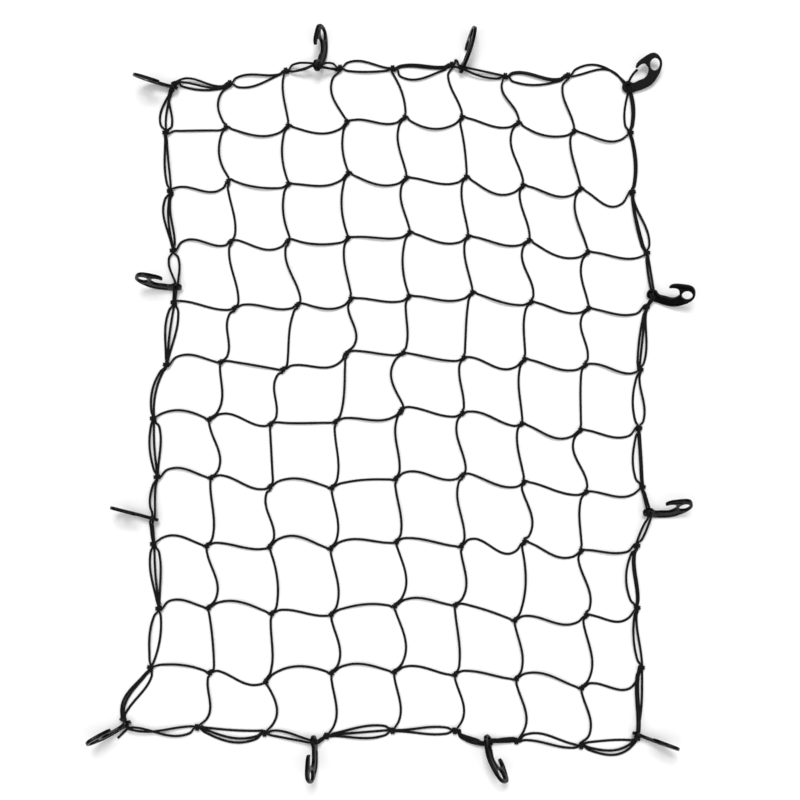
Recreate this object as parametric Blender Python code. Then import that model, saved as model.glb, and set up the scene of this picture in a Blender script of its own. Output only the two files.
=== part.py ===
"""Elastic cargo net, lying flat: a square mesh of knotted cord, a doubled edge and twelve moulded hooks.

The net has 8 by 11 meshes of 75 mm. Ten crosswise and seven lengthwise cords make the mesh, an edge cord
closes it on each side, and a perimeter cord runs outside the edge cord and carries the hooks by their eyes.
The mesh cords turn back in every other edge mesh, so the border has three strands and two in turn.
Sizes are in millimetres and are scaled to metres where the objects are made.
"""

import math
from collections import namedtuple

import bpy
from mathutils import Matrix, Vector

MM = 0.001
NET_CENTRE = Vector((7.02, 2.88, 0.0))

PITCH = 75.0
LAST_COLUMN = 8
LAST_ROW = 11
CORD = 3.0
GAP = 0.3
LANE = CORD + GAP
LOW = CORD / 2
HIGH = LOW + LANE
HALF_AND_GAP = CORD / 2 + GAP

PLATE = 4.0
EYE_OUTER = 7.5
EYE_HOLE = 4.8
HEAD_HOLE = (7.5, 6.1)
HEAD_HOLE_CENTRE = 43.4
HEAD_HOLE_TURN = math.radians(45)
EYE_RIM = (-100, -355)
RIM_STEPS = 7
FLOOR_TEST_STEPS = 24
OVAL_STEPS = 6
FLOOR_GAP = 0.3
EYE_PASS = 5.0
BESIDE_EYE = EYE_OUTER + CORD / 2 + GAP
CORNER_PASS = 8.0
OUTER_LANE = 3.8
TURN_LANE = 4.0
EYE_SPREAD = 3.6
MEET_ROOM = TURN_LANE + CORD / 2 + 2.0
CORNER_ROOM = CORD / 2 + 1.7

# Where points are set along a strand: a point every so often on the border, at even shares of the way
# in the mesh, and a lengthwise cord's shares with its height there, raised at each knot.
BORDER_STEP = 14.0
FEWEST_STEPS = 2
MOST_STEPS = 4
EVEN_SHARES = (0, 0.25, 0.5, 0.75)
RAISED_SHARES = {0: HIGH, 0.08: HIGH, 0.3: LOW, 0.5: LOW, 0.7: LOW, 0.92: HIGH}
FIRST_SHARES = {0: LOW, 0.3: LOW, 0.5: LOW, 0.7: LOW, 0.92: HIGH}
LAST_SHARES = {0: HIGH, 0.08: HIGH, 0.3: LOW, 0.5: LOW, 0.7: LOW}

# How far each knot has slid from the even grid, one row for each crosswise course from the top,
# one value for each lengthwise course from the left: to the right, then up the net.
SLID_RIGHT = (
    (24, 8, 4, -3, -11, -12, -19, -15, -23),
    (3, 4, 7, 6, 4, 1, -3, -8, -12),
    (10, 8, 8, 8, 6, 6, 2, -1, -11),
    (15, 13, 9, 8, 10, 8, 9, 7, 6),
    (17, 19, 22, 12, 9, 13, 11, 7, 4),
    (9, 3, 5, 8, 2, 2, 2, 2, -5),
    (-6, -10, -10, -5, 1, 0, -2, -5, -8),
    (0, -7, -10, -9, -6, 1, 0, 1, -5),
    (-3, -11, -10, -10, -5, -1, 0, -6, -13),
    (5, -8, -6, -9, -7, -8, -11, -1, -14),
    (-4, -5, -13, -8, -7, -9, -10, -6, -10),
    (-22, -21, -15, -15, -11, -11, -12, -9, -26),
)
SLID_UP = (
    (-15, -19, -3, 1, 0, 5, -10, -9, -31),
    (-8, -1, 1, 6, 12, 12, 5, -6, -8),
    (-8, 5, 1, 15, 9, 10, -1, -5, -10),
    (-9, 3, 4, 7, 14, 9, 4, -11, -12),
    (0, -6, -2, 5, 8, 13, 1, -7, -6),
    (-3, 1, -8, 12, 12, 6, 4, -3, -9),
    (5, 5, -1, 2, 17, 12, -1, -9, -7),
    (8, 8, -3, -4, 7, 11, 2, -10, -4),
    (1, 0, -1, -3, 5, 0, 4, -7, -1),
    (-2, 0, -7, -8, 2, 3, -15, -10, -1),
    (2, -3, -13, -3, -2, -5, -10, -21, 2),
    (15, 6, -1, -4, 2, 2, -10, -16, 1),
)

# How a strand leaves one knot and comes to the next, in degrees from the line between them,
# positive to the left of its way.
FORMS = {
    "l": (0, 0),
    "o": (8, 9),
    "m": (0, 14),
    "s": (-20, 18),
    "f": (-28, 30),
    "d": (-18, 38),
    "D": (-35, 40),
    "F": (-45, 36),
    "E": (-20, 48),
    "G": (-20, 57),
    "t": (2, 32),
    "T": (0, 43),
    "g": (-6, 46),
    "p": (-8, 36),
    "P": (-6, 54),
    "k": (-8, 22),
    "h": (7, 21),
    "i": (12, 20),
    "j": (18, 28),
    "J": (9, 39),
    "v": (15, 48),
    "V": (16, 63),
    "w": (22, 32),
    "O": (22, 40),
    "u": (25, 48),
    "U": (36, 33),
    "H": (40, 25),
    "X": (44, 56),
    "C": (50, 30),
    "c": (32, 4),
    "K": (30, 14),
    "M": (17, 4),
    "Y": (19, 15),
    "a": (15, -20),
    "S": (12, -8),
    "Z": (35, -4),
    "R": (34, -15),
    "q": (45, -11),
    "Q": (35, -26),
    "I": (30, -50),
    "2": (13, -42),
    "3": (6, -6),
    "b": (3, -30),
    "y": (2, -38),
    "B": (5, -45),
    "0": (0, -15),
    "x": (-5, -22),
    "r": (-6, -42),
    "7": (-12, -38),
    "L": (-14, -48),
    "n": (-20, -15),
    "z": (-7, 0),
    "e": (-20, 0),
    "1": (-32, 2),
    "9": (-48, 20),
    "4": (-32, -12),
    "5": (-38, -8),
    "6": (-38, -28),
    "8": (-43, -23),
}
CROSSWISE = {
    1: "lddwDtfg",
    2: "uspdtETG",
    3: "Cgshptdt",
    4: "ijdhtktp",
    5: "qlvomvtw",
    6: "QHzJiKgT",
    7: "qwRSUthT",
    8: "qiqcMXTt",
    9: "qRYaZ3OP",
    10: "aJQRcMZV",
}
LENGTHWISE = {
    1: "Ffxn6yrxr3L",
    2: "ess4e8l6axI",
    3: "9sseL0xbbyy",
    4: "a11sx94x22y",
    5: "43eezn44y0B",
    6: "85n6eeeBabB",
    7: "5e116z8e7yB",
}

# The border's meshes in clockwise order: the perimeter cord's form, the edge cord's form and, where a
# mesh cord turns back, that cord's form. Positive is outward.
BORDER = {
    "T0": ((42, 35), (12, 31), (-22, 22)),
    "T1": ((35, 25), (-38, 5), None),
    "T3": ((43, 2), (-15, 10), None),
    "T4": ((22, 19), (22, 19), (-50, 11)),
    "T6": ((33, 33), (33, 33), (-30, 20)),
    "T7": ((51, -41), (20, -46), None),
    "R0": ((12, -12), (8, -12), (-18, 32)),
    "R1": ((12, -18), (12, -18), None),
    "R2": ((-14, -32), (-6, 6), (-8, 8)),
    "R4": ((-8, -22), (0, 0), (-8, 8)),
    "R5": ((-17, -33), (-20, 23), None),
    "R6": ((0, 0), (0, 0), (-16, 28)),
    "R8": ((-23, -11), (-23, -11), (-31, 31)),
    "R9": ((-17, -5), (-18, 20), None),
    "R10": ((4, -4), (-16, 2), (-16, 2)),
    "B7": ((48, -30), (20, -20), (-12, 14)),
    "B6": ((18, 20), (4, 42), None),
    "B4": ((19, 4), (-20, -4), None),
    "B3": ((26, 2), (0, 0), (-24, 4)),
    "B1": ((39, -23), (33, -15), (6, -4)),
    "B0": ((40, 5), (-8, -6), None),
    "L10": ((40, -5), (36, -5), (0, 30)),
    "L9": ((8, -24), (-16, 18), None),
    "L8": ((3, -24), (4, -4), (0, 20)),
    "L6": ((16, -18), (6, -6), (0, 26)),
    "L5": ((25, -27), (18, -20), None),
    "L4": ((3, -26), (4, -4), (0, 24)),
    "L2": ((2, -24), (5, -5), (-8, 8)),
    "L1": ((2, -2), (-6, 6), None),
    "L0": ((45, -5), (10, -10), (-30, -8)),
}
# The same for the border meshes with a hook in them: into the hook's eye, then out of it.
HOOK_LEGS = {
    "T2": (((12, -10), (20, -25)), ((-10, 14), (-8, 4)), ((-12, 6), (0, 0))),
    "T5": (((30, -30), (0, 0)), ((0, 0), (-18, 22)), None),
    "R3": (((0, 0), (0, 0)), ((-5, 5), (0, 0)), None),
    "R7": (((0, 0), (10, -12)), ((0, 0), (-8, 10)), None),
    "B5": (((0, 0), (12, -10)), ((0, 0), (-10, 8)), ((0, 0), (0, 0))),
    "B2": (((0, 0), (0, 0)), ((0, 0), (-6, 28)), None),
    "L7": (((0, 0), (6, -6)), ((0, 0), (-3, 3)), None),
    "L3": (((0, 0), (12, -40)), ((0, 0), (-12, 32)), None),
}
SIDES = {
    "top": ["T0", "T1", "T2", "T3", "T4", "T5", "T6", "T7"],
    "right": ["R0", "R1", "R2", "R3", "R4", "R5", "R6", "R7", "R8", "R9", "R10"],
    "bottom": ["B7", "B6", "B5", "B4", "B3", "B2", "B1", "B0"],
    "left": ["L10", "L9", "L8", "L7", "L6", "L5", "L4", "L3", "L2", "L1", "L0"],
}

Hook = namedtuple("Hook", "eye points opens turned raised rise")
# The hooks, clockwise from the top left corner: where the eye's centre lies, the way the hook points
# (degrees from +X), which side it opens to as it points (1 left, -1 right), how far that side is turned
# up from flat, how far the head is raised, and how steeply the cord rises through the eye, in degrees.
HOOKS = {
    "hook_01": Hook((-288.9, 387.2), points=170.5, opens=1, turned=78, raised=31, rise=0),
    "hook_02": Hook((-106.0, 411.5), points=82, opens=1, turned=63, raised=-9, rise=0),
    "hook_03": Hook((76.4, 412.4), points=71.5, opens=1, turned=-75, raised=15.3, rise=0),
    "hook_04": Hook((285.6, 388.4), points=38.8, opens=1, turned=15, raised=12, rise=32),
    "hook_05": Hook((311.3, 121.8), points=-5.5, opens=1, turned=47, raised=22, rise=30),
    "hook_06": Hook((301.3, -148.3), points=9, opens=1, turned=60, raised=13, rise=6),
    "hook_07": Hook((283.9, -414.8), points=-19, opens=-1, turned=94, raised=26, rise=0),
    "hook_08": Hook((104.1, -421.7), points=-71, opens=1, turned=-63, raised=20, rise=0),
    "hook_09": Hook((-105.5, -422.8), points=-94, opens=-1, turned=72, raised=29, rise=0),
    "hook_10": Hook((-331.8, -402.8), points=207.2, opens=-1, turned=80, raised=27, rise=0),
    "hook_11": Hook((-280.0, 131.4), points=170.4, opens=-1, turned=74, raised=27, rise=0),
    "hook_12": Hook((-303.5, -155.7), points=165.8, opens=1, turned=88, raised=19, rise=0),
}
# Where the cord crosses a corner hook's eye, along the hook from the eye's centre.
CORNER_CORD_AT = {"hook_01": -2.2, "hook_04": 0, "hook_07": -2.2, "hook_10": -2.2}
HOOK_IN_MESH = {
    "T2": "hook_02",
    "T5": "hook_03",
    "R3": "hook_05",
    "R7": "hook_06",
    "B5": "hook_08",
    "B2": "hook_09",
    "L7": "hook_12",
    "L3": "hook_11",
}
CORNER_HOOK = {"top": "hook_04", "right": "hook_07", "bottom": "hook_10", "left": "hook_01"}
TAILS = {
    "tail_top_right": ((284.2, 394.0), (287.9, 400.0), (292.8, 406.2), (298.0, 411.9)),
    "tail_bottom_left": ((-330.9, -408.7), (-334.4, -412.0), (-338.0, -415.6), (-341.8, -419.3)),
}

# The hook's outline from the eye outward round the back, the head and the beak, and back along the
# throat: along the hook from the eye's centre, and towards the beak.
BACK_AND_HEAD = (
    (-1.0, -8.6),
    (4.0, -10.9),
    (12.0, -14.2),
    (25.0, -16.8),
    (36.2, -14.2),
    (44.8, -10.3),
    (51.8, -3.8),
    (53.8, 2.5),
    (52.7, 10.1),
    (49.3, 13.4),
    (44.4, 14.9),
    (37.3, 15.8),
    (30.2, 16.1),
    (24.0, 14.1),
    (22.4, 11.5),
)
THROAT = (
    (27.4, 11.0),
    (31.8, 10.2),
    (34.4, 7.6),
    (34.4, 2.4),
    (30.8, -2.0),
    (24.4, -4.7),
    (15.4, -2.4),
    (8.6, -0.4),
)
SEAT_START = (34.4, 7.6)
SEAT_END = (34.4, 2.4)


def knot(row, column):
    """Centre of a knot, on the floor plane."""
    right = (column - LAST_COLUMN / 2) * PITCH + SLID_RIGHT[row][column]
    up = (LAST_ROW / 2 - row) * PITCH + SLID_UP[row][column]
    return Vector((right, up))


def left_of(direction):
    """The level direction a quarter turn to the left."""
    return Vector((-direction.y, direction.x))


def heading(degrees):
    """The level direction at an angle from +X."""
    return Vector((math.cos(math.radians(degrees)), math.sin(math.radians(degrees))))


def smooth(share):
    """A share eased at both ends."""
    return share * share * (3 - 2 * share)


def strand(start, end, form, shares):
    """Points of one strand at the given shares of its way, bowed to leave and arrive as its form says."""
    way = (end - start).xy
    length = way.length
    side = left_of(way.normalized())
    leave = math.tan(math.radians(form[0]))
    arrive = math.tan(math.radians(form[1]))
    points = []
    for share in shares:
        bow = length * (leave * share * (1 - share) ** 2 - arrive * share**2 * (1 - share))
        place = start.xy + way * share + side * bow
        height = start.z + (end.z - start.z) * smooth(share)
        points.append(Vector((place.x, place.y, height)))
    return points


def shares_for(start, end):
    """Even shares of a border strand's way, closer where the strand is short."""
    steps = round((end - start).xy.length / BORDER_STEP)
    steps = max(FEWEST_STEPS, min(MOST_STEPS, steps))
    return [step / steps for step in range(steps)]


def at_height(place, height):
    """The place seen from above, at a height."""
    return Vector((place.x, place.y, height))


def side_knots(side):
    """The border's knots along one side, in clockwise order."""
    columns = range(LAST_COLUMN + 1)
    rows = range(LAST_ROW + 1)
    if side == "top":
        return [knot(0, column) for column in columns]
    if side == "right":
        return [knot(row, LAST_COLUMN) for row in rows]
    if side == "bottom":
        return [knot(LAST_ROW, column) for column in reversed(columns)]
    return [knot(row, 0) for row in reversed(rows)]


def outward(side, index):
    """Direction out of the net at a border knot."""
    knots = side_knots(side)
    before = knots[max(index - 1, 0)]
    after = knots[min(index + 1, len(knots) - 1)]
    return left_of((after - before).normalized())


def lane_point(side, index, lane):
    """A point on the floor, a lane out of the net from a border knot."""
    place = side_knots(side)[index] + outward(side, index) * lane
    return at_height(place, LOW)


def hook_axes(name):
    """The hook's own axes: along it, towards its beak side, and square to its plate."""
    hook = HOOKS[name]
    flat = heading(hook.points)
    raised = math.radians(hook.raised)
    turned = math.radians(hook.turned)
    along = Vector((flat.x * math.cos(raised), flat.y * math.cos(raised), math.sin(raised)))
    over = Vector((-flat.x * math.sin(raised), -flat.y * math.sin(raised), math.cos(raised)))
    side = left_of(flat) * hook.opens
    beak = Vector((side.x, side.y, 0)) * math.cos(turned) + over * math.sin(turned)
    return along, beak, along.cross(beak)


def eye_height(name):
    """Height of the eye's centre when the lowest point of the hook just clears the floor."""
    along, beak, square = hook_axes(name)
    outline = list(BACK_AND_HEAD) + list(THROAT) + eye_arc(FLOOR_TEST_STEPS)
    lowest = min(point[0] * along.z + point[1] * beak.z for point in outline)
    return FLOOR_GAP - lowest + abs(square.z) * PLATE / 2


def eye_arc(steps):
    """Points on the rim of the eye, round its centre from the back to the throat."""
    start, end = EYE_RIM
    points = []
    for step in range(steps):
        turn = math.radians(start + (end - start) * step / (steps - 1))
        points.append((EYE_OUTER * math.cos(turn), EYE_OUTER * math.sin(turn)))
    return points


def through_eye(name, offset, reach):
    """The two ends of a cord's straight way through a hook's eye, reach before and after its centre."""
    hook = HOOKS[name]
    flat = heading(hook.points)
    way = -left_of(flat)
    centre = Vector(hook.eye) + flat * offset
    rise = math.tan(math.radians(hook.rise)) * reach
    height = eye_height(name)
    before = at_height(centre - way * reach, height - rise)
    after = at_height(centre + way * reach, height + rise)
    return before, after


def beside_eye(name, offset):
    """A point on the floor beside a hook's eye, on the net's side of it."""
    hook = HOOKS[name]
    return at_height(Vector(hook.eye) - heading(hook.points) * offset, LOW)


def border_strand(side, index, mesh, cord, lane):
    """Points of the perimeter cord (cord 0) or the edge cord (cord 1) along one border mesh."""
    start = lane_point(side, index, lane)
    end = lane_point(side, index + 1, lane)
    if mesh not in HOOK_IN_MESH:
        return strand(start, end, BORDER[mesh][cord], shares_for(start, end))
    into, out = HOOK_LEGS[mesh][cord]
    offset = EYE_SPREAD / 2 if cord == 0 else -EYE_SPREAD / 2
    before, after = through_eye(HOOK_IN_MESH[mesh], offset, EYE_PASS)
    points = strand(start, before, into, shares_for(start, before))
    points += [before]
    return points + strand(after, end, out, shares_for(after, end))


def through_corner(name):
    """The perimeter cord's two points either side of a corner hook's eye."""
    return through_eye(name, CORNER_CORD_AT[name], EYE_PASS)


def corner_meeting(name, distance):
    """A point past a corner hook's eye, level with where the cord leaves it."""
    after = through_corner(name)[1]
    way = heading(HOOKS[name].points - 90)
    return at_height(after.xy + way * (distance - EYE_PASS), after.z)


def perimeter_side(side):
    """The perimeter cord along one side, through the eye of the hook at its far corner."""
    meshes = SIDES[side]
    arrive_before, arrive_after = through_corner(CORNER_HOOK[side])
    previous = CORNER_HOOK[list(SIDES)[list(SIDES).index(side) - 1]]
    start = corner_meeting(previous, CORNER_PASS + GAP)
    first = corner_meeting(previous, CORNER_PASS + CORD)
    points = [start]
    for index, mesh in enumerate(meshes):
        if index == 0:
            end = lane_point(side, 1, OUTER_LANE)
            points += strand(first, end, BORDER[mesh][0], shares_for(first, end))
        elif index == len(meshes) - 1:
            begin = lane_point(side, index, OUTER_LANE)
            points += strand(begin, arrive_before, BORDER[mesh][0], shares_for(begin, arrive_before))
        else:
            points += border_strand(side, index, mesh, 0, OUTER_LANE)
    return points + [arrive_before, arrive_after, corner_meeting(CORNER_HOOK[side], CORNER_PASS)]


def edge_side(side):
    """The edge cord along one side, ending beside the start of the next side's."""
    meshes = SIDES[side]
    points = []
    for index, mesh in enumerate(meshes):
        points += border_strand(side, index, mesh, 1, 0)
    last = points[-1]
    corner = lane_point(side, len(meshes), 0)
    way = (corner - last).normalized()
    return points + [corner - way * HALF_AND_GAP]


def turn_back(side, index, mesh):
    """A mesh cord's strand along one border mesh, inside the edge cord, in clockwise order."""
    start = lane_point(side, index, -TURN_LANE)
    end = lane_point(side, index + 1, -TURN_LANE)
    if mesh not in HOOK_IN_MESH:
        return strand(start, end, BORDER[mesh][2], shares_for(start, end)) + [end]
    into, out = HOOK_LEGS[mesh][2]
    beside = beside_eye(HOOK_IN_MESH[mesh], BESIDE_EYE)
    points = strand(start, beside, into, shares_for(start, beside))
    return points + strand(beside, end, out, shares_for(beside, end)) + [end]


def run_on(side, index, forward):
    """A point half a cord past a border knot in a turn-back's lane, where that cord covers the next."""
    way = -left_of(outward(side, index)) * forward
    return lane_point(side, index, -TURN_LANE) + at_height(way * CORD / 2, 0)


def crosswise_points(row):
    """A crosswise cord from the left edge to the right edge, lying flat."""
    points = []
    for column in range(LAST_COLUMN):
        start = at_height(knot(row, column), LOW)
        end = at_height(knot(row, column + 1), LOW)
        points += strand(start, end, FORMS[CROSSWISE[row][column]], EVEN_SHARES)
    return points + [at_height(knot(row, LAST_COLUMN), LOW)]


def lengthwise_points(column):
    """A lengthwise cord from the top edge to the bottom edge, raised over each crosswise cord."""
    points = []
    for row in range(LAST_ROW):
        start = at_height(knot(row, column), LOW)
        end = at_height(knot(row + 1, column), LOW)
        heights = RAISED_SHARES
        if row == 0:
            heights = FIRST_SHARES
        elif row == LAST_ROW - 1:
            heights = LAST_SHARES
        run = strand(start, end, FORMS[LENGTHWISE[column][row]], heights)
        for point, height in zip(run, heights.values()):
            point.z = height
        points += run
    return points + [at_height(knot(LAST_ROW, column), LOW)]


def pulled_back(points, distance, from_start):
    """The route with one end moved back along itself, to leave room for the cord it meets."""
    kept = list(points)
    if from_start:
        kept.reverse()
    while (kept[-1] - kept[-2]).length <= distance:
        distance -= (kept[-1] - kept[-2]).length
        kept.pop()
    kept[-1] = kept[-1] - (kept[-1] - kept[-2]).normalized() * distance
    if from_start:
        kept.reverse()
    return kept


def side_turn(letter, number, start_on=False, end_on=False):
    """The turn-back strand in a border mesh, in clockwise order, run on at an end where asked."""
    side = {"T": "top", "R": "right", "B": "bottom", "L": "left"}[letter]
    mesh = f"{letter}{number}"
    index = SIDES[side].index(mesh)
    points = turn_back(side, index, mesh)
    if start_on:
        points = [run_on(side, index, -1)] + points
    if end_on:
        points = points + [run_on(side, index + 1, 1)]
    return points


def crosswise_route(row):
    """A whole crosswise cord with its turn-back strands at the edges."""
    body = crosswise_points(row)[1:-1]
    if row == 1:
        left_turn = pulled_back(side_turn("L", 0)[::-1], TURN_LANE + CORNER_ROOM, True)
    elif row == LAST_ROW - 1:
        left_turn = pulled_back(side_turn("L", row), CORNER_ROOM, True)
    elif row % 2 == 0:
        left_turn = side_turn("L", row, start_on=True)
    else:
        left_turn = [lane_point("left", LAST_ROW - row, -MEET_ROOM)]
    if row == 1:
        right_turn = pulled_back(side_turn("R", 0)[::-1], CORNER_ROOM, False)
    elif row == LAST_ROW - 1:
        right_turn = pulled_back(side_turn("R", row), CORNER_ROOM, False)
    elif row % 2 == 1:
        right_turn = side_turn("R", row - 1, start_on=True)[::-1]
    else:
        right_turn = [lane_point("right", row, -MEET_ROOM)]
    return left_turn + body + right_turn


def lengthwise_route(column):
    """A whole lengthwise cord with its turn-back strands at the edges."""
    body = lengthwise_points(column)[1:-1]
    if column == 1:
        top_turn = pulled_back(side_turn("T", 0), CORNER_ROOM, True)
    elif column % 2 == 1:
        top_turn = side_turn("T", column - 1, start_on=True)
    else:
        top_turn = [lane_point("top", column, -MEET_ROOM)]
    if column == LAST_COLUMN - 1:
        bottom_turn = pulled_back(side_turn("B", column)[::-1], TURN_LANE + CORNER_ROOM, False)
    elif column % 2 == 0:
        bottom_turn = side_turn("B", column - 1, end_on=True)
    else:
        bottom_turn = [lane_point("bottom", LAST_COLUMN - column, -MEET_ROOM)]
    return top_turn + body + bottom_turn


def new_collection(name):
    collection = bpy.data.collections.new(name)
    bpy.context.scene.collection.children.link(collection)
    return collection


def new_material(name, colour, roughness):
    material = bpy.data.materials.new(name)
    material.use_nodes = True
    shader = material.node_tree.nodes["Principled BSDF"]
    shader.inputs["Base Color"].default_value = (*colour, 1.0)
    shader.inputs["Roughness"].default_value = roughness
    shader.inputs["Metallic"].default_value = 0.0
    return material


def cord_section(collection):
    """The square section that every cord is swept with, flat side down."""
    curve = bpy.data.curves.new("cord_section", "CURVE")
    spline = curve.splines.new("POLY")
    spline.points.add(3)
    half = CORD / 2 * MM
    corners = ((-half, -half), (-half, half), (half, half), (half, -half))
    for point, (x, y) in zip(spline.points, corners):
        point.co = (x, y, 0, 1)
    spline.use_cyclic_u = True
    section = bpy.data.objects.new("cord_section", curve)
    section.hide_render = True
    section.display_type = "WIRE"
    collection.objects.link(section)
    return section


def add_cord(name, points, section, material, collection):
    """A cord swept along its route."""
    curve = bpy.data.curves.new(name, "CURVE")
    curve.dimensions = "3D"
    curve.twist_mode = "Z_UP"
    curve.bevel_mode = "OBJECT"
    curve.bevel_object = section
    curve.use_fill_caps = True
    spline = curve.splines.new("POLY")
    spline.points.add(len(points) - 1)
    for target, point in zip(spline.points, points):
        place = (point + NET_CENTRE) * MM
        target.co = (place.x, place.y, place.z, 1)
    curve.materials.append(material)
    cord = bpy.data.objects.new(name, curve)
    collection.objects.link(cord)
    return cord


def add_loop(curve, points, handles):
    """A closed Bezier loop through the points; handles gives a point's left and right handle types."""
    spline = curve.splines.new("BEZIER")
    spline.bezier_points.add(len(points) - 1)
    for index, (target, point) in enumerate(zip(spline.bezier_points, points)):
        target.co = (point[0] * MM, point[1] * MM, 0)
        left, right = handles.get(index, ("AUTO", "AUTO"))
        target.handle_left_type = left
        target.handle_right_type = right
    spline.use_cyclic_u = True


def oval(centre, radii, turn):
    """Points round a hole."""
    points = []
    for step in range(OVAL_STEPS):
        angle = math.tau * step / OVAL_STEPS
        x = radii[0] * math.cos(angle)
        y = radii[1] * math.sin(angle)
        points.append((
            centre[0] + x * math.cos(turn) - y * math.sin(turn),
            centre[1] + x * math.sin(turn) + y * math.cos(turn),
        ))
    return points


def hook_curve(material):
    """The moulded hook: a flat plate with an eye for the cord, an oval hole in its head and a beak."""
    curve = bpy.data.curves.new("hook", "CURVE")
    curve.dimensions = "2D"
    curve.fill_mode = "BOTH"
    curve.extrude = PLATE / 2 * MM
    curve.resolution_u = 2
    outline = eye_arc(RIM_STEPS)[::-1] + list(BACK_AND_HEAD) + list(THROAT)
    flat = {
        outline.index(SEAT_START): ("AUTO", "VECTOR"),
        outline.index(SEAT_END): ("VECTOR", "AUTO"),
    }
    add_loop(curve, outline, flat)
    add_loop(curve, oval((0, 0), (EYE_HOLE, EYE_HOLE), 0), {})
    add_loop(curve, oval((HEAD_HOLE_CENTRE, 0), HEAD_HOLE, HEAD_HOLE_TURN), {})
    curve.materials.append(material)
    return curve


def add_hook(name, curve, collection):
    """One hook, placed by its eye and turned as it lies."""
    along, beak, square = hook_axes(name)
    eye = at_height(Vector(HOOKS[name].eye), eye_height(name))
    turn = Matrix((along, beak, square)).transposed().to_4x4()
    hook = bpy.data.objects.new(name, curve)
    hook.matrix_world = Matrix.Translation((eye + NET_CENTRE) * MM) @ turn
    collection.objects.link(hook)
    return hook


def build():
    """The whole net, in a collection of its own."""
    for stale in list(bpy.data.objects):
        bpy.data.objects.remove(stale)
    net = new_collection("cargo_net")
    guides = new_collection("guides")
    cord = new_material("cord", (0.012, 0.012, 0.013), 0.75)
    plastic = new_material("hook_plastic", (0.016, 0.016, 0.018), 0.42)
    section = cord_section(guides)
    for side in SIDES:
        add_cord(f"perimeter_{side}", perimeter_side(side), section, cord, net)
        add_cord(f"edge_{side}", edge_side(side), section, cord, net)
    for row in range(1, LAST_ROW):
        add_cord(f"cross_{row:02d}", crosswise_route(row), section, cord, net)
    for column in range(1, LAST_COLUMN):
        add_cord(f"length_{column}", lengthwise_route(column), section, cord, net)
    for name, route in TAILS.items():
        add_cord(name, [Vector((x, y, LOW)) for x, y in route], section, cord, net)
    plate = hook_curve(plastic)
    for name in HOOKS:
        add_hook(name, plate, net)


build()
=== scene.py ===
"""Elastic cargo net lying flat: knotted braided cords inside a doubled edge, with moulded hooks on it.

The mesh cords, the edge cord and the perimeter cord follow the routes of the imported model's cords, as round
braided cords with their knots tied in them. The hooks are rebuilt with rounded edges and sunk faces where the
packed ones lie. Sizes are in millimetres in the net's own layout and become metres where meshes are made.
"""

import logging
import math
from collections.abc import Sequence
from dataclasses import dataclass
from enum import Enum
from typing import ClassVar

import bmesh
import bpy
from mathutils import Matrix, Vector


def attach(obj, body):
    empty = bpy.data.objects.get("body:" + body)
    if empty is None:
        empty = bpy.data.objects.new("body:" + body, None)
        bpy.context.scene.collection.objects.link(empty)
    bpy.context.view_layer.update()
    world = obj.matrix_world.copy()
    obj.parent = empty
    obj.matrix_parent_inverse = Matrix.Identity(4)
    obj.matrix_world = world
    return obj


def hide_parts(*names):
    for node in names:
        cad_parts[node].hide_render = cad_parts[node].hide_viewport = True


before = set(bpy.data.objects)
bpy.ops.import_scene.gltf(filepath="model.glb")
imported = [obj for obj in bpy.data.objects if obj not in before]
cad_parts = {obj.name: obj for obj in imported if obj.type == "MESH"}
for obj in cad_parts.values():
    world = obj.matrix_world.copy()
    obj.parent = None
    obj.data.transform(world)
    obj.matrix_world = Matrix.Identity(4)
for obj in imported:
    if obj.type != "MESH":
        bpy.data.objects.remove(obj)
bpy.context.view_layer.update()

LOG = logging.getLogger("cargo_net")

Pair = tuple[float, float]
Place = tuple[float, float, float]
Colour = tuple[float, float, float, float]
Legs = tuple[Pair, Pair]
Object = bpy.types.Object
Mesh = bpy.types.Mesh
Material = bpy.types.Material
Socket = bpy.types.NodeSocket

MM = 0.001
# From the layout's own middle to the middle of the net as it lies.
NET_CENTRE = Vector((7.02, 2.88, 0.0))
# Points of a route that are closer than this count as one.
CLOSE = 1e-3
# Points of a moulding that are closer than this are merged, and edges shorter than the second are dropped.
MERGED = 0.02
DROPPED = 0.005

# How far each knot has slid from the even grid, one row for each crosswise course from the top,
# one value for each lengthwise course from the left: to the right, then up the net.
SLID_RIGHT = (
    (24, 8, 4, -3, -11, -12, -19, -15, -23),
    (3, 4, 7, 6, 4, 1, -3, -8, -12),
    (10, 8, 8, 8, 6, 6, 2, -1, -11),
    (15, 13, 9, 8, 10, 8, 9, 7, 6),
    (17, 19, 22, 12, 9, 13, 11, 7, 4),
    (9, 3, 5, 8, 2, 2, 2, 2, -5),
    (-6, -10, -10, -5, 1, 0, -2, -5, -8),
    (0, -7, -10, -9, -6, 1, 0, 1, -5),
    (-3, -11, -10, -10, -5, -1, 0, -6, -13),
    (5, -8, -6, -9, -7, -8, -11, -1, -14),
    (-4, -5, -13, -8, -7, -9, -10, -6, -10),
    (-22, -21, -15, -15, -11, -11, -12, -9, -26),
)
SLID_UP = (
    (-15, -19, -3, 1, 0, 5, -10, -9, -31),
    (-8, -1, 1, 6, 12, 12, 5, -6, -8),
    (-8, 5, 1, 15, 9, 10, -1, -5, -10),
    (-9, 3, 4, 7, 14, 9, 4, -11, -12),
    (0, -6, -2, 5, 8, 13, 1, -7, -6),
    (-3, 1, -8, 12, 12, 6, 4, -3, -9),
    (5, 5, -1, 2, 17, 12, -1, -9, -7),
    (8, 8, -3, -4, 7, 11, 2, -10, -4),
    (1, 0, -1, -3, 5, 0, 4, -7, -1),
    (-2, 0, -7, -8, 2, 3, -15, -10, -1),
    (2, -3, -13, -3, -2, -5, -10, -21, 2),
    (15, 6, -1, -4, 2, 2, -10, -16, 1),
)

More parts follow.
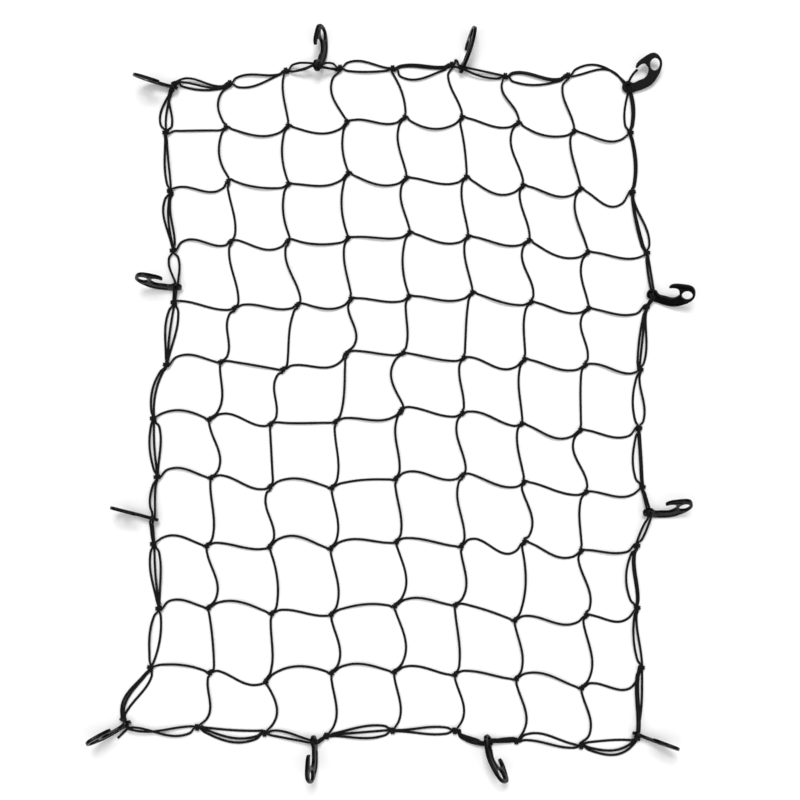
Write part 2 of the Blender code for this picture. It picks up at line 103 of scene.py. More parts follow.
# Where the corner knots are drawn up beside the eyes of the corner hooks.
CORNER_KNOTS = {
    (0, 0): (-286.5, 395.0),
    (0, 8): (288.0, 386.5),
    (11, 8): (282.5, -423.0),
    (11, 0): (-337.0, -400.0),
}

# The ways in which a strand bows between two knots: the angles that it leaves the first and comes to the
# second at, in degrees from the line between them, positive to the left of its way.
FORMS = {
    "l": (0, 0),
    "o": (8, 9),
    "m": (0, 14),
    "s": (-20, 18),
    "f": (-28, 30),
    "d": (-18, 38),
    "D": (-35, 40),
    "F": (-45, 36),
    "E": (-20, 48),
    "W": (-14, 62),
    "t": (2, 32),
    "T": (0, 43),
    "g": (-6, 46),
    "p": (-8, 36),
    "P": (-6, 54),
    "k": (-8, 22),
    "h": (7, 21),
    "i": (12, 20),
    "j": (18, 28),
    "J": (9, 39),
    "v": (15, 48),
    "V": (16, 63),
    "w": (22, 32),
    "O": (22, 40),
    "u": (25, 48),
    "U": (36, 33),
    "H": (40, 25),
    "X": (44, 56),
    "C": (50, 30),
    "c": (32, 4),
    "K": (30, 14),
    "M": (17, 4),
    "Y": (19, 15),
    "a": (15, -20),
    "S": (12, -8),
    "Z": (35, -4),
    "R": (34, -15),
    "q": (45, -11),
    "Q": (35, -26),
    "I": (30, -50),
    "2": (13, -42),
    "3": (6, -6),
    "b": (3, -30),
    "y": (2, -38),
    "B": (5, -45),
    "0": (0, -15),
    "x": (-5, -22),
    "r": (-6, -42),
    "7": (-12, -38),
    "L": (-14, -48),
    "n": (-20, -15),
    "z": (-7, 0),
    "e": (-20, 0),
    "1": (-32, 2),
    "9": (-48, 20),
    "4": (-32, -12),
    "5": (-38, -8),
    "6": (-38, -28),
    "8": (-43, -23),
}
# The forms of each cord's strands: crosswise cords from the left, lengthwise cords from the top.
CROSSWISE = {
    1: "lddwDtfg",
    2: "uspdtETW",
    3: "Cgshptdt",
    4: "ijdhtktp",
    5: "qlvomvtw",
    6: "QHzJiKgT",
    7: "qwRSUthT",
    8: "qiqcMXTt",
    9: "qRYaZ3OP",
    10: "aJQRcMZV",
}
LENGTHWISE = {
    1: "Ffxn6yrxr3L",
    2: "ess4e8l6axI",
    3: "9sseL0xbbyy",
    4: "a11sx94x22y",
    5: "43eezn44y0B",
    6: "85n6eeeBabB",
    7: "5e116z8e7yB",
}

# The border's meshes in clockwise order: the angles of the perimeter cord, of the edge cord and, where a
# mesh cord turns back along them, of that cord. Positive is outward.
BORDER = {
    "T0": ((42, 35), (12, 31), (-22, 22)),
    "T1": ((35, 25), (-38, 5), None),
    "T3": ((43, 2), (-15, 10), None),
    "T4": ((22, 19), (22, 19), (-50, 11)),
    "T6": ((33, 33), (33, 33), (-30, 20)),
    "T7": ((50, -38), (8, -56), None),
    "R0": ((19, -17), (15, -16), (-11, 25)),
    "R1": ((12, -18), (12, -18), None),
    "R2": ((-14, -32), (-6, 6), (-8, 8)),
    "R4": ((-8, -22), (0, 0), (-8, 8)),
    "R5": ((-17, -33), (-20, 23), None),
    "R6": ((0, 0), (0, 0), (-16, 28)),
    "R8": ((-23, -11), (-23, -11), (-31, 31)),
    "R9": ((-17, -5), (-18, 20), None),
    "R10": ((4, -10), (-15, -4), (-15, -11)),
    "B7": ((48, -30), (39, -23), (-8, 4)),
    "B6": ((18, 20), (4, 42), None),
    "B4": ((19, 4), (-20, -4), None),
    "B3": ((26, 2), (0, 0), (-24, 4)),
    "B1": ((39, -23), (33, -15), (6, -4)),
    "B0": ((40, 5), (-6, -23), None),
    "L10": ((43, -2), (37, -4), (20, 27)),
    "L9": ((8, -24), (-16, 18), None),
    "L8": ((3, -24), (4, -4), (0, 20)),
    "L6": ((16, -18), (6, -6), (0, 26)),
    "L5": ((25, -27), (18, -20), None),
    "L4": ((3, -26), (4, -4), (0, 24)),
    "L2": ((1, -38), (10, -19), (-12, -23)),
    "L1": ((17, -1), (-2, -2), None),
    "L0": ((45, -5), (18, -13), (-30, -40)),
}
# The same for the border meshes with a hook in them, from the knot into the hook's eye and from the eye
# to the next knot.
HOOK_LEGS = {
    "T2": (((41, -19), (34, -36)), ((-10, 14), (-8, 4)), ((-12, 6), (0, 0))),
    "T5": (((76, -48), (0, 0)), ((0, 0), (-18, 22)), None),
    "R3": (((0, 0), (0, 0)), ((-5, 5), (0, 0)), None),
    "R7": (((0, 0), (10, -12)), ((0, 0), (-8, 10)), None),
    "B5": (((0, 0), (21, -26)), ((0, 0), (18, -23)), ((-8, 8), (-9, -18))),
    "B2": (((0, 0), (0, 0)), ((0, 0), (-6, 28)), None),
    "L7": (((0, 0), (28, -19)), ((0, 0), (2, -15)), None),
    "L3": (((0, 0), (12, -40)), ((0, 0), (-12, 32)), None),
}


class Side(Enum):
    """The net's sides in clockwise order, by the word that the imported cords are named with."""

    TOP = "top"
    RIGHT = "right"
    BOTTOM = "bottom"
    LEFT = "left"


class Way(Enum):
    """Which way round the border a strand runs."""

    CLOCKWISE = 1
    BACK = -1


class BorderCord(Enum):
    """The two cords round the net, by their place in the border's tables."""

    PERIMETER = 0
    EDGE = 1


class Opens(Enum):
    """The side that a hook opens to as it points."""

    LEFT = 1
    RIGHT = -1


class Lump(Enum):
    """Which end of an interior knot's doubled stretch its wraps sit at."""

    UPPER_RIGHT = 1
    LOWER_LEFT = -1


SIDE_MESHES = {
    Side.TOP: [f"T{number}" for number in range(8)],
    Side.RIGHT: [f"R{number}" for number in range(11)],
    Side.BOTTOM: [f"B{number}" for number in reversed(range(8))],
    Side.LEFT: [f"L{number}" for number in reversed(range(11))],
}
SIDE_LETTERS = {"T": Side.TOP, "R": Side.RIGHT, "B": Side.BOTTOM, "L": Side.LEFT}
HOOK_IN_MESH = {
    "T2": "hook_02",
    "T5": "hook_03",
    "R3": "hook_05",
    "R7": "hook_06",
    "B5": "hook_08",
    "B2": "hook_09",
    "L7": "hook_12",
    "L3": "hook_11",
}
CORNER_HOOK = {
    Side.TOP: "hook_04",
    Side.RIGHT: "hook_07",
    Side.BOTTOM: "hook_10",
    Side.LEFT: "hook_01",
}
# Where the mesh cords turn back after their border hitches: the border mesh, and which way.
TURNED_BACK = {
    "cross_01_start": ("L0", Way.CLOCKWISE),
    "cross_01_end": ("R0", Way.BACK),
    "cross_10_start": ("L10", Way.BACK),
    "cross_10_end": ("R10", Way.CLOCKWISE),
    "length_1_start": ("T0", Way.BACK),
    "length_7_end": ("B7", Way.BACK),
    **{f"cross_{row:02d}_start": (f"L{row}", Way.BACK) for row in (2, 4, 6, 8)},
    **{f"cross_{row:02d}_end": (f"R{row - 1}", Way.BACK) for row in (3, 5, 7, 9)},
    **{f"length_{column}_start": (f"T{column - 1}", Way.BACK) for column in (3, 5, 7)},
    **{f"length_{column}_end": (f"B{column - 1}", Way.CLOCKWISE) for column in (2, 4, 6)},
}
# Where the perimeter cord and the edge cord cross the corner hooks' eyes: along each hook from the
# eye's centre, and above it.
CORNER_CORDS_AT = {
    "hook_01": ((-2.2, 0.0), (-0.6, 2.9)),
    "hook_04": ((2.0, 0.0), (-1.0, 0.0)),
    "hook_07": ((-2.2, 0.0), (-0.6, 2.9)),
    "hook_10": ((-2.2, 0.0), (-0.6, 2.9)),
}
# The cord's free ends, from their corner knots outward.
TAILS = {
    "tail_top_right": (
        (280.4, 390.4, 1.6),
        (280.9, 390.9, 4.2),
        (283.4, 393.1, 5.4),
        (286.4, 395.6, 4.4),
        (287.8, 397.6, 2.6),
        (289.9, 401.8, 1.5),
        (293.3, 406.8, 1.5),
        (298.0, 411.9, 1.5),
    ),
    "tail_bottom_left": (
        (-330.9, -408.7, 1.5),
        (-334.4, -412.0, 1.5),
        (-338.0, -415.6, 1.5),
        (-341.8, -419.3, 1.5),
    ),
}


@dataclass(frozen=True)
class HookLay:
    """How one hook lies.

    Args:
        eye: its eye's centre.
        points: the way it points, in degrees from +X.
        opens: which side it opens to as it points.
        turned: how far that side is turned up from flat, in degrees.
        raised: how far its head is raised, in degrees.
        rise: how steeply the cords rise through its eye, in degrees.
        slid: how far along the hook from the eye's centre the cords cross it.
    """

    eye: Pair
    points: float
    opens: Opens
    turned: float
    raised: float
    rise: float
    slid: float = 0.0


HOOKS = {
    "hook_01": HookLay((-288.9, 387.2), points=170.5, opens=Opens.LEFT, turned=78, raised=31, rise=0),
    "hook_02": HookLay((-106.0, 411.5), points=82, opens=Opens.LEFT, turned=63, raised=-9, rise=0),
    "hook_03": HookLay((76.4, 412.4), points=71.5, opens=Opens.LEFT, turned=-75, raised=15.3, rise=0),
    "hook_04": HookLay((285.6, 388.4), points=38.8, opens=Opens.LEFT, turned=15, raised=12, rise=32),
    "hook_05": HookLay((311.3, 121.8), points=-5.5, opens=Opens.LEFT, turned=47, raised=22, rise=30),
    "hook_06": HookLay((301.3, -148.3), points=9, opens=Opens.LEFT, turned=60, raised=13, rise=6),
    "hook_07": HookLay((283.9, -414.8), points=-19, opens=Opens.RIGHT, turned=94, raised=26, rise=0),
    "hook_08": HookLay((104.1, -421.7), points=-71, opens=Opens.LEFT, turned=-63, raised=20, rise=0, slid=2),
    "hook_09": HookLay((-105.5, -422.8), points=-94, opens=Opens.RIGHT, turned=72, raised=29, rise=0),
    "hook_10": HookLay((-331.8, -402.8), points=207.2, opens=Opens.RIGHT, turned=80, raised=27, rise=0),
    "hook_11": HookLay((-280.0, 131.4), points=170.4, opens=Opens.RIGHT, turned=74, raised=27, rise=0),
    "hook_12": HookLay((-303.5, -155.7), points=165.8, opens=Opens.LEFT, turned=88, raised=19, rise=0),
}

# The hook's outline from the eye outward round the back, the head and the beak, and back along the
# throat: along the hook from the eye's centre, and towards the beak.
BACK_AND_HEAD = (
    (-1.0, -8.6),
    (4.0, -10.9),
    (12.0, -14.2),
    (25.0, -16.8),
    (36.2, -14.2),
    (44.8, -10.3),
    (51.8, -3.8),
    (53.8, 2.5),
    (52.7, 10.1),
    (49.3, 13.4),
    (44.4, 14.9),
    (37.3, 15.8),
    (30.2, 16.1),
    (24.0, 14.1),
    (22.4, 11.5),
)
THROAT = (
    (27.4, 11.0),
    (31.8, 10.2),
    (34.4, 7.6),
    (34.4, 2.4),
    (30.8, -2.0),
    (24.4, -4.7),
    (15.4, -2.4),
    (8.6, -0.4),
)
# The throat's flat seat, where the hook bears on a bar.
SEAT_START = (34.4, 7.6)
SEAT_END = (34.4, 2.4)
# The sunk panels in the hook's faces: one along the arm, one in the beak.
ARM_PANEL = (
    (10.2, -5.0),
    (15.6, -5.6),
    (24.4, -7.6),
    (31.0, -5.6),
    (35.4, -4.4),
    (37.4, -7.4),
    (36.0, -11.4),
    (25.0, -14.2),
    (13.2, -11.8),
    (7.6, -9.0),
)
BEAK_PANEL = (
    (28.0, 12.9),
    (33.0, 12.4),
    (37.4, 11.4),
    (42.2, 10.6),
    (43.0, 12.2),
    (37.0, 13.6),
    (30.4, 14.2),
)


def left_of(direction: Vector) -> Vector:
    """The level direction a quarter turn to the left."""
    return Vector((-direction.y, direction.x))


def heading(degrees: float) -> Vector:
    """The level direction at an angle from +X."""
    return Vector((math.cos(math.radians(degrees)), math.sin(math.radians(degrees))))


def at_height(place: Vector, height: float) -> Vector:
    """The place seen from above, at a height."""
    return Vector((place.x, place.y, height))


def bowed(start: Vector, end: Vector, form: Pair, share: float) -> Vector:
    """A place on a strand seen from above.

    Args:
        start: where the strand leaves.
        end: where it arrives.
        form: the angles in degrees that it leaves and arrives at, positive to the left of its way.
        share: how far along it the place is, from 0 to 1.

    Returns:
        The place, level.
    """
    way = (end - start).xy
    leave = math.tan(math.radians(form[0]))
    arrive = math.tan(math.radians(form[1]))
    bow = leave * share * (1 - share) ** 2 - arrive * share**2 * (1 - share)
    return start.xy + way * share + left_of(way) * bow


@dataclass
class CordPath:
    """A cord's centreline in millimetres with its radius at each point.

    Args:
        points: the places that the centreline passes through.
        radii: the cord's radius at each of them.
        closed: whether the cord is an endless loop.
        step: spacing of the points that a smooth curve is filled in with.
        fine_parts: the fewest parts between two of its own points.
    """

    points: list[Vector]
    radii: list[float]
    closed: bool = False
    step: float = 2.5
    fine_parts: int = 2

    def add(self, place: Vector, radius: float) -> None:
        """Lead the cord on to a place."""
        self.points.append(place)
        self.radii.append(radius)

    def extend(self, other: "CordPath") -> None:
        """Lead the cord on along another path."""
        self.points.extend(other.points)
        self.radii.extend(other.radii)

    def reversed_way(self) -> "CordPath":
        """The same path led the other way."""
        return CordPath(self.points[::-1], self.radii[::-1], self.closed)

    def smooth(self) -> "CordPath":
        """Fill in a smooth curve through the points.

        Returns:
            The path with a point every few millimetres, closer where its own points are close.
        """
        count = len(self.points)
        spans = count if self.closed else count - 1
        filled = CordPath([], [], self.closed)
        for index in range(spans):
            before, start, end, after = (self._near(index + shift) for shift in (-1, 0, 1, 2))
            length = (self.points[end] - self.points[start]).length
            parts = max(self.fine_parts, math.ceil(length / self.step))
            for part in range(parts):
                share = part / parts
                place = catmull_rom(
                    self.points[before], self.points[start], self.points[end], self.points[after], share
                )
                filled.add(place, self.radii[start] * (1 - share) + self.radii[end] * share)
        if not self.closed:
            filled.add(self.points[-1], self.radii[-1])
        return filled

    def _near(self, index: int) -> int:
        """The index of a point, round the loop or held at the ends.

        Args:
            index: the index, which may lie past either end.

        Returns:
            An index that is in the list of points.
        """
        if self.closed:
            return index % len(self.points)
        return min(max(index, 0), len(self.points) - 1)


def catmull_rom(before: Vector, start: Vector, end: Vector, after: Vector, share: float) -> Vector:
    """A place on the centripetal curve between two points.

    Args:
        before: the point before the stretch.
        start: the stretch's first point.
        end: its last point.
        after: the point after it.
        share: how far along the stretch the place is, from 0 to 1.

    Returns:
        The place.
    """
    first = max((start - before).length, CLOSE) ** 0.5
    middle = max((end - start).length, CLOSE) ** 0.5
    last = max((after - end).length, CLOSE) ** 0.5
    leave = end - start
    arrive = end - start
    if (start - before).length > CLOSE:
        leave = ((start - before) / first - (end - before) / (first + middle)) * middle + (end - start)
    if (after - end).length > CLOSE:
        arrive = (end - start) + ((after - end) / last - (after - start) / (middle + last)) * middle
    cubed = share**3
    squared = share**2
    return (
        start * (2 * cubed - 3 * squared + 1)
        + leave * (cubed - 2 * squared + share)
        + end * (3 * squared - 2 * cubed)
        + arrive * (cubed - squared)
    )


@dataclass(frozen=True)
class NetLayout:
    """Where the net's knots lie and which way its border runs.

    Args:
        pitch: the side of a mesh.
        last_column: the number of meshes across.
        last_row: the number of meshes down.
    """

    pitch: float = 75.0
    last_column: int = 8
    last_row: int = 11

    def knot(self, row: int, column: int) -> Vector:
        """Centre of a knot on the floor plane.

        Args:
            row: its row, counted from the top edge.
            column: its column, counted from the left edge.

        Returns:
            Its place as seen from above.
        """
        if (row, column) in CORNER_KNOTS:
            return Vector(CORNER_KNOTS[row, column])
        right = (column - self.last_column / 2) * self.pitch + SLID_RIGHT[row][column]
        up = (self.last_row / 2 - row) * self.pitch + SLID_UP[row][column]
        return Vector((right, up))

    def side_knots(self, side: Side) -> list[Vector]:
        """The border's knots along one side in clockwise order.

        Args:
            side: the side.

        Returns:
            Their places, with both corners.
        """
        columns = range(self.last_column + 1)
        rows = range(self.last_row + 1)
        if side is Side.TOP:
            return [self.knot(0, column) for column in columns]
        if side is Side.RIGHT:
            return [self.knot(row, self.last_column) for row in rows]
        if side is Side.BOTTOM:
            return [self.knot(self.last_row, column) for column in reversed(columns)]
        return [self.knot(row, 0) for row in reversed(rows)]

    def clockwise(self, side: Side, index: int) -> Vector:
        """The border's direction at one of its knots.

        Args:
            side: the side of the net.
            index: the knot, counted clockwise from the side's first.

        Returns:
            The direction as seen from above.
        """
        knots = self.side_knots(side)
        before = knots[max(index - 1, 0)]
        after = knots[min(index + 1, len(knots) - 1)]
        return (after - before).normalized()

    def beside(self, side: Side, index: int, along: float, out: float, height: float) -> Vector:
        """A place given from a border knot: clockwise along the border, out of the net, and up.

        Args:
            side: the side of the net.
            index: the knot, counted clockwise from the side's first.
            along: how far clockwise along the border.
            out: how far out of the net.
            height: its height.

        Returns:
            The place in space.
        """
        way = self.clockwise(side, index)
        place = self.side_knots(side)[index] + way * along + left_of(way) * out
        return at_height(place, height)

    def lump(self, row: int, column: int) -> Lump:
        """Which end of an interior knot its wraps sit at.

        Args:
            row: its row, counted from the top edge.
            column: its column, counted from the left edge.

        Returns:
            The upper right end in the net's upper right half, else the lower left one.
        """
        rightness = column / self.last_column
        upness = 1 - row / self.last_row
        return Lump.UPPER_RIGHT if rightness + upness > 1 else Lump.LOWER_LEFT


@dataclass(frozen=True)
class CordSizes:
    """The cord's radii, and how it lies on the floor.

    Args:
        radius: of a free strand.
        drawn: of a strand drawn tight in a knot.
        slack_step: spacing of the points along a free strand.
        fewest_parts: the fewest parts that a free strand has.
        knot_room: how far from a knot's centre its strands are free.
        most_room: the largest share of a strand that a knot may take up at one end.
        most_arch: the most that a strand's middle stands up off the floor.
        arch_levels: how many different heights the middles have.
        arch_stride: how many levels apart two strands are whose seeds follow each other.
    """

    radius: float = 1.5
    drawn: float = 1.3
    slack_step: float = 9.0
    fewest_parts: int = 3
    knot_room: float = 8.0
    most_room: float = 1 / 3
    most_arch: float = 3.0
    arch_levels: int = 11
    arch_stride: int = 4

    def arch(self, seed: int) -> float:
        """How far one strand's middle stands up off the floor."""
        return self.most_arch * (seed * self.arch_stride % self.arch_levels) / (self.arch_levels - 1)

    def half_drawn(self) -> float:
        """The radius between a free strand's and a drawn one's."""
        return (self.drawn + self.radius) / 2

    def strand(self, start: Vector, end: Vector, form: Pair, seed: int, rooms: Pair) -> CordPath:
        """A free strand between two places.

        Args:
            start: where it leaves.
            end: where it arrives.
            form: its angles, as FORMS gives them.
            seed: picks how far it stands up.
            rooms: how much of its start and end the knots take up.

        Returns:
            Its points, without the ends inside the knots.
        """
        in_space = len(start) == 3
        length = (end - start).xy.length
        first = min(rooms[0] / length, self.most_room)
        last = 1 - min(rooms[1] / length, self.most_room)
        parts = max(self.fewest_parts, round((last - first) * length / self.slack_step))
        path = CordPath([], [])
        for part in range(parts + 1):
            share = first + (last - first) * part / parts
            place = bowed(start, end, form, share)
            swell = math.sin(math.pi * share) ** 2
            ends = start.z + (end.z - start.z) * share if in_space else self.radius
            path.add(at_height(place, ends + self.arch(seed) * swell), self.radius)
        return path


@dataclass(frozen=True)
class MeshKnot:
    """An interior knot: the lengthwise cord wraps the crosswise cord along a short diagonal.

    Args:
        cord: the cord's sizes.
        core_height: height of the crosswise cord in the knot.
        core_way: the crosswise cord's places from the lower left to the upper right, along the knot's
            diagonal, to its left, and above that height.
        wraps_from: where the lengthwise cord comes to its wraps at the upper right, in the same terms.
        wraps_to: its places from the wraps to the lower left.
        wrap: radius of the wraps' centreline.
        lump_end: how far from the knot's centre the strands at the wraps leave it.
        lump_shift: how far to the lower left a knot lies whose wraps are at that end.
        strand_room: how much of a strand from there the knot takes up.
        first_turn: where the wraps start, in degrees round the core from the upper left.
        last_turn: where they end.
        turn_step: spacing of the points round the wraps.
        wrap_start: how far up the diagonal they start.
        wrap_end: how far up it they end.
    """

    cord: CordSizes = CordSizes()
    core_height: float = 3.5
    core_way: tuple[Place, ...] = (
        (-5.4, 1.25, -1.5),
        (-3.2, 1.0, -0.5),
        (-0.6, 0.0, 0.0),
        (1.4, -0.1, 0.0),
        (2.9, -1.6, -0.7),
    )
    wraps_from: Place = (2.6, 2.9, -0.2)
    wraps_to: tuple[Place, ...] = ((-3.3, -1.5, -1.4), (-5.4, -1.25, -1.8))
    wrap: float = 2.4
    lump_end: float = 1.0
    lump_shift: float = 2.0
    strand_room: float = 5.0
    first_turn: float = 60.0
    last_turn: float = 555.0
    turn_step: float = 40.0
    wrap_start: float = 2.0
    wrap_end: float = -1.9

    @property
    def doubled_end(self) -> float:
        """How far from the knot's centre the two strands part that lie side by side."""
        return -self.core_way[0][0]

    def shift(self, lump: Lump) -> float:
        """How far down its diagonal a knot lies from its place in the layout."""
        return self.lump_shift if lump is Lump.LOWER_LEFT else 0.0

    def core(self) -> list[Place]:
        """The crosswise cord's places in the knot."""
        return list(self.core_way)

    def wraps(self) -> list[Place]:
        """The lengthwise cord's places in the knot, with its wraps round the crosswise cord.

        Returns:
            Its places from the upper right to the lower left.
        """
        places = [self.wraps_from]
        steps = math.ceil((self.last_turn - self.first_turn) / self.turn_step)
        for step in range(steps + 1):
            share = step / steps
            turn = math.radians(self.first_turn + (self.last_turn - self.first_turn) * share)
            along = self.wrap_start + (self.wrap_end - self.wrap_start) * share
            places.append((along, self.wrap * math.cos(turn), self.wrap * math.sin(turn)))
        return places + list(self.wraps_to)

    def placed(self, places: list[Place], centre: Vector, diagonal: Vector, lump: Lump) -> CordPath:
        """Set a cord's places in the knot where the knot is.

        Args:
            places: the cord's places along the diagonal, to its left, and above the core.
            centre: the knot's centre.
            diagonal: the direction of the doubled stretch, to the upper right.
            lump: which end the wraps sit at.

        Returns:
            The cord's path through the knot.
        """
        if lump is Lump.LOWER_LEFT:
            places = [(-along, -aside, up) for along, aside, up in reversed(places)]
        side = left_of(diagonal)
        middle = centre - diagonal * self.shift(lump)
        path = CordPath([], [])
        for along, aside, up in places:
            place = middle + diagonal * along + side * aside
            path.add(at_height(place, self.core_height + up), self.cord.drawn)
        path.radii[0] = path.radii[-1] = self.cord.half_drawn()
        return path


@dataclass(frozen=True)
class BorderHitch:
    """A border knot: a mesh cord hitched round the edge and perimeter cords.

    Args:
        cord: the cord's sizes.
        drawn: radius of the cords where they are drawn tight in it.
        spread: how far the edge and perimeter cords lie from the knot's centre, in and out.
        half_length: half the length of the wraps.
        turns: from the inner side over the top and round, in degrees.
        turn_step: spacing of the points round the wraps.
        held_lift: how much higher the wraps reach over a strand that ends in the knot.
        held_over: how far above the edge and perimeter cords such a strand lies.
        straight: how far either side of the knot's centre those two cords run straight.
        entry: how far from the knot's centre the mesh cord comes to it.
        tucked_end: a cord's end past its wraps: farther along the border, out of the net, and up.
        turn: where a cord turns back along the border past its wraps, in the same terms.
        held_end: a turned-back strand's end under the next knot's wraps: along its way from the knot's
            centre, out of the net, and above the height that it is held at.
        corner_end: its end in a corner knot, in the same terms.
    """

    cord: CordSizes = CordSizes()
    drawn: float = 1.15
    spread: float = 0.95
    half_length: float = 2.2
    turns: Pair = (150.0, -540.0)
    turn_step: float = 40.0
    held_lift: float = 1.5
    held_over: float = 1.8
    straight: float = 3.4
    entry: float = 3.2
    tucked_end: tuple[Place, ...] = ((0.2, -1.6, 1.2), (-0.6, 0.4, 1.1))
    turn: Place = (2.0, -3.1, 2.3)
    held_end: tuple[Place, ...] = ((-6.0, -1.6, -1.2), (-3.2, -0.3, 0.0), (2.2, 0.0, 0.0))
    corner_end: tuple[Place, ...] = ((-7.0, -2.4, -1.4), (-3.6, -2.6, 0.0), (-0.5, -3.2, 0.0))

    def half_height(self, holds: bool) -> float:
        """Half the height of the wraps' centreline."""
        return self.drawn * 2 + (self.held_lift / 2 if holds else 0)

    def height(self, holds: bool) -> float:
        """Height of the wraps' axis, so that they just lie on the floor."""
        return self.half_height(holds) + self.drawn

    def bundle_height(self, holds: bool) -> float:
        """Height of the edge and perimeter cords in the knot."""
        return self.height(holds) - (self.held_lift / 2 if holds else 0)

    def wraps(self, layout: NetLayout, side: Side, index: int, way: Way, holds: bool) -> CordPath:
        """The mesh cord's wraps, from the net's side of the border.

        Args:
            layout: the net's layout.
            side: the side of the net.
            index: the knot, counted clockwise.
            way: which way along the border the wraps advance.
            holds: whether a strand ends inside them.

        Returns:
            The wraps' path.
        """
        across = self.spread + 2 * self.drawn
        start, end = self.turns
        steps = math.ceil(abs(end - start) / self.turn_step)
        path = CordPath([], [])
        for step in range(steps + 1):
            share = step / steps
            turn = math.radians(start + (end - start) * share)
            along = self.half_length * (2 * share - 1) * way.value
            out = across * math.cos(turn)
            height = self.height(holds) + self.half_height(holds) * math.sin(turn)
            path.add(layout.beside(side, index, along, out, height), self.drawn)
        return path


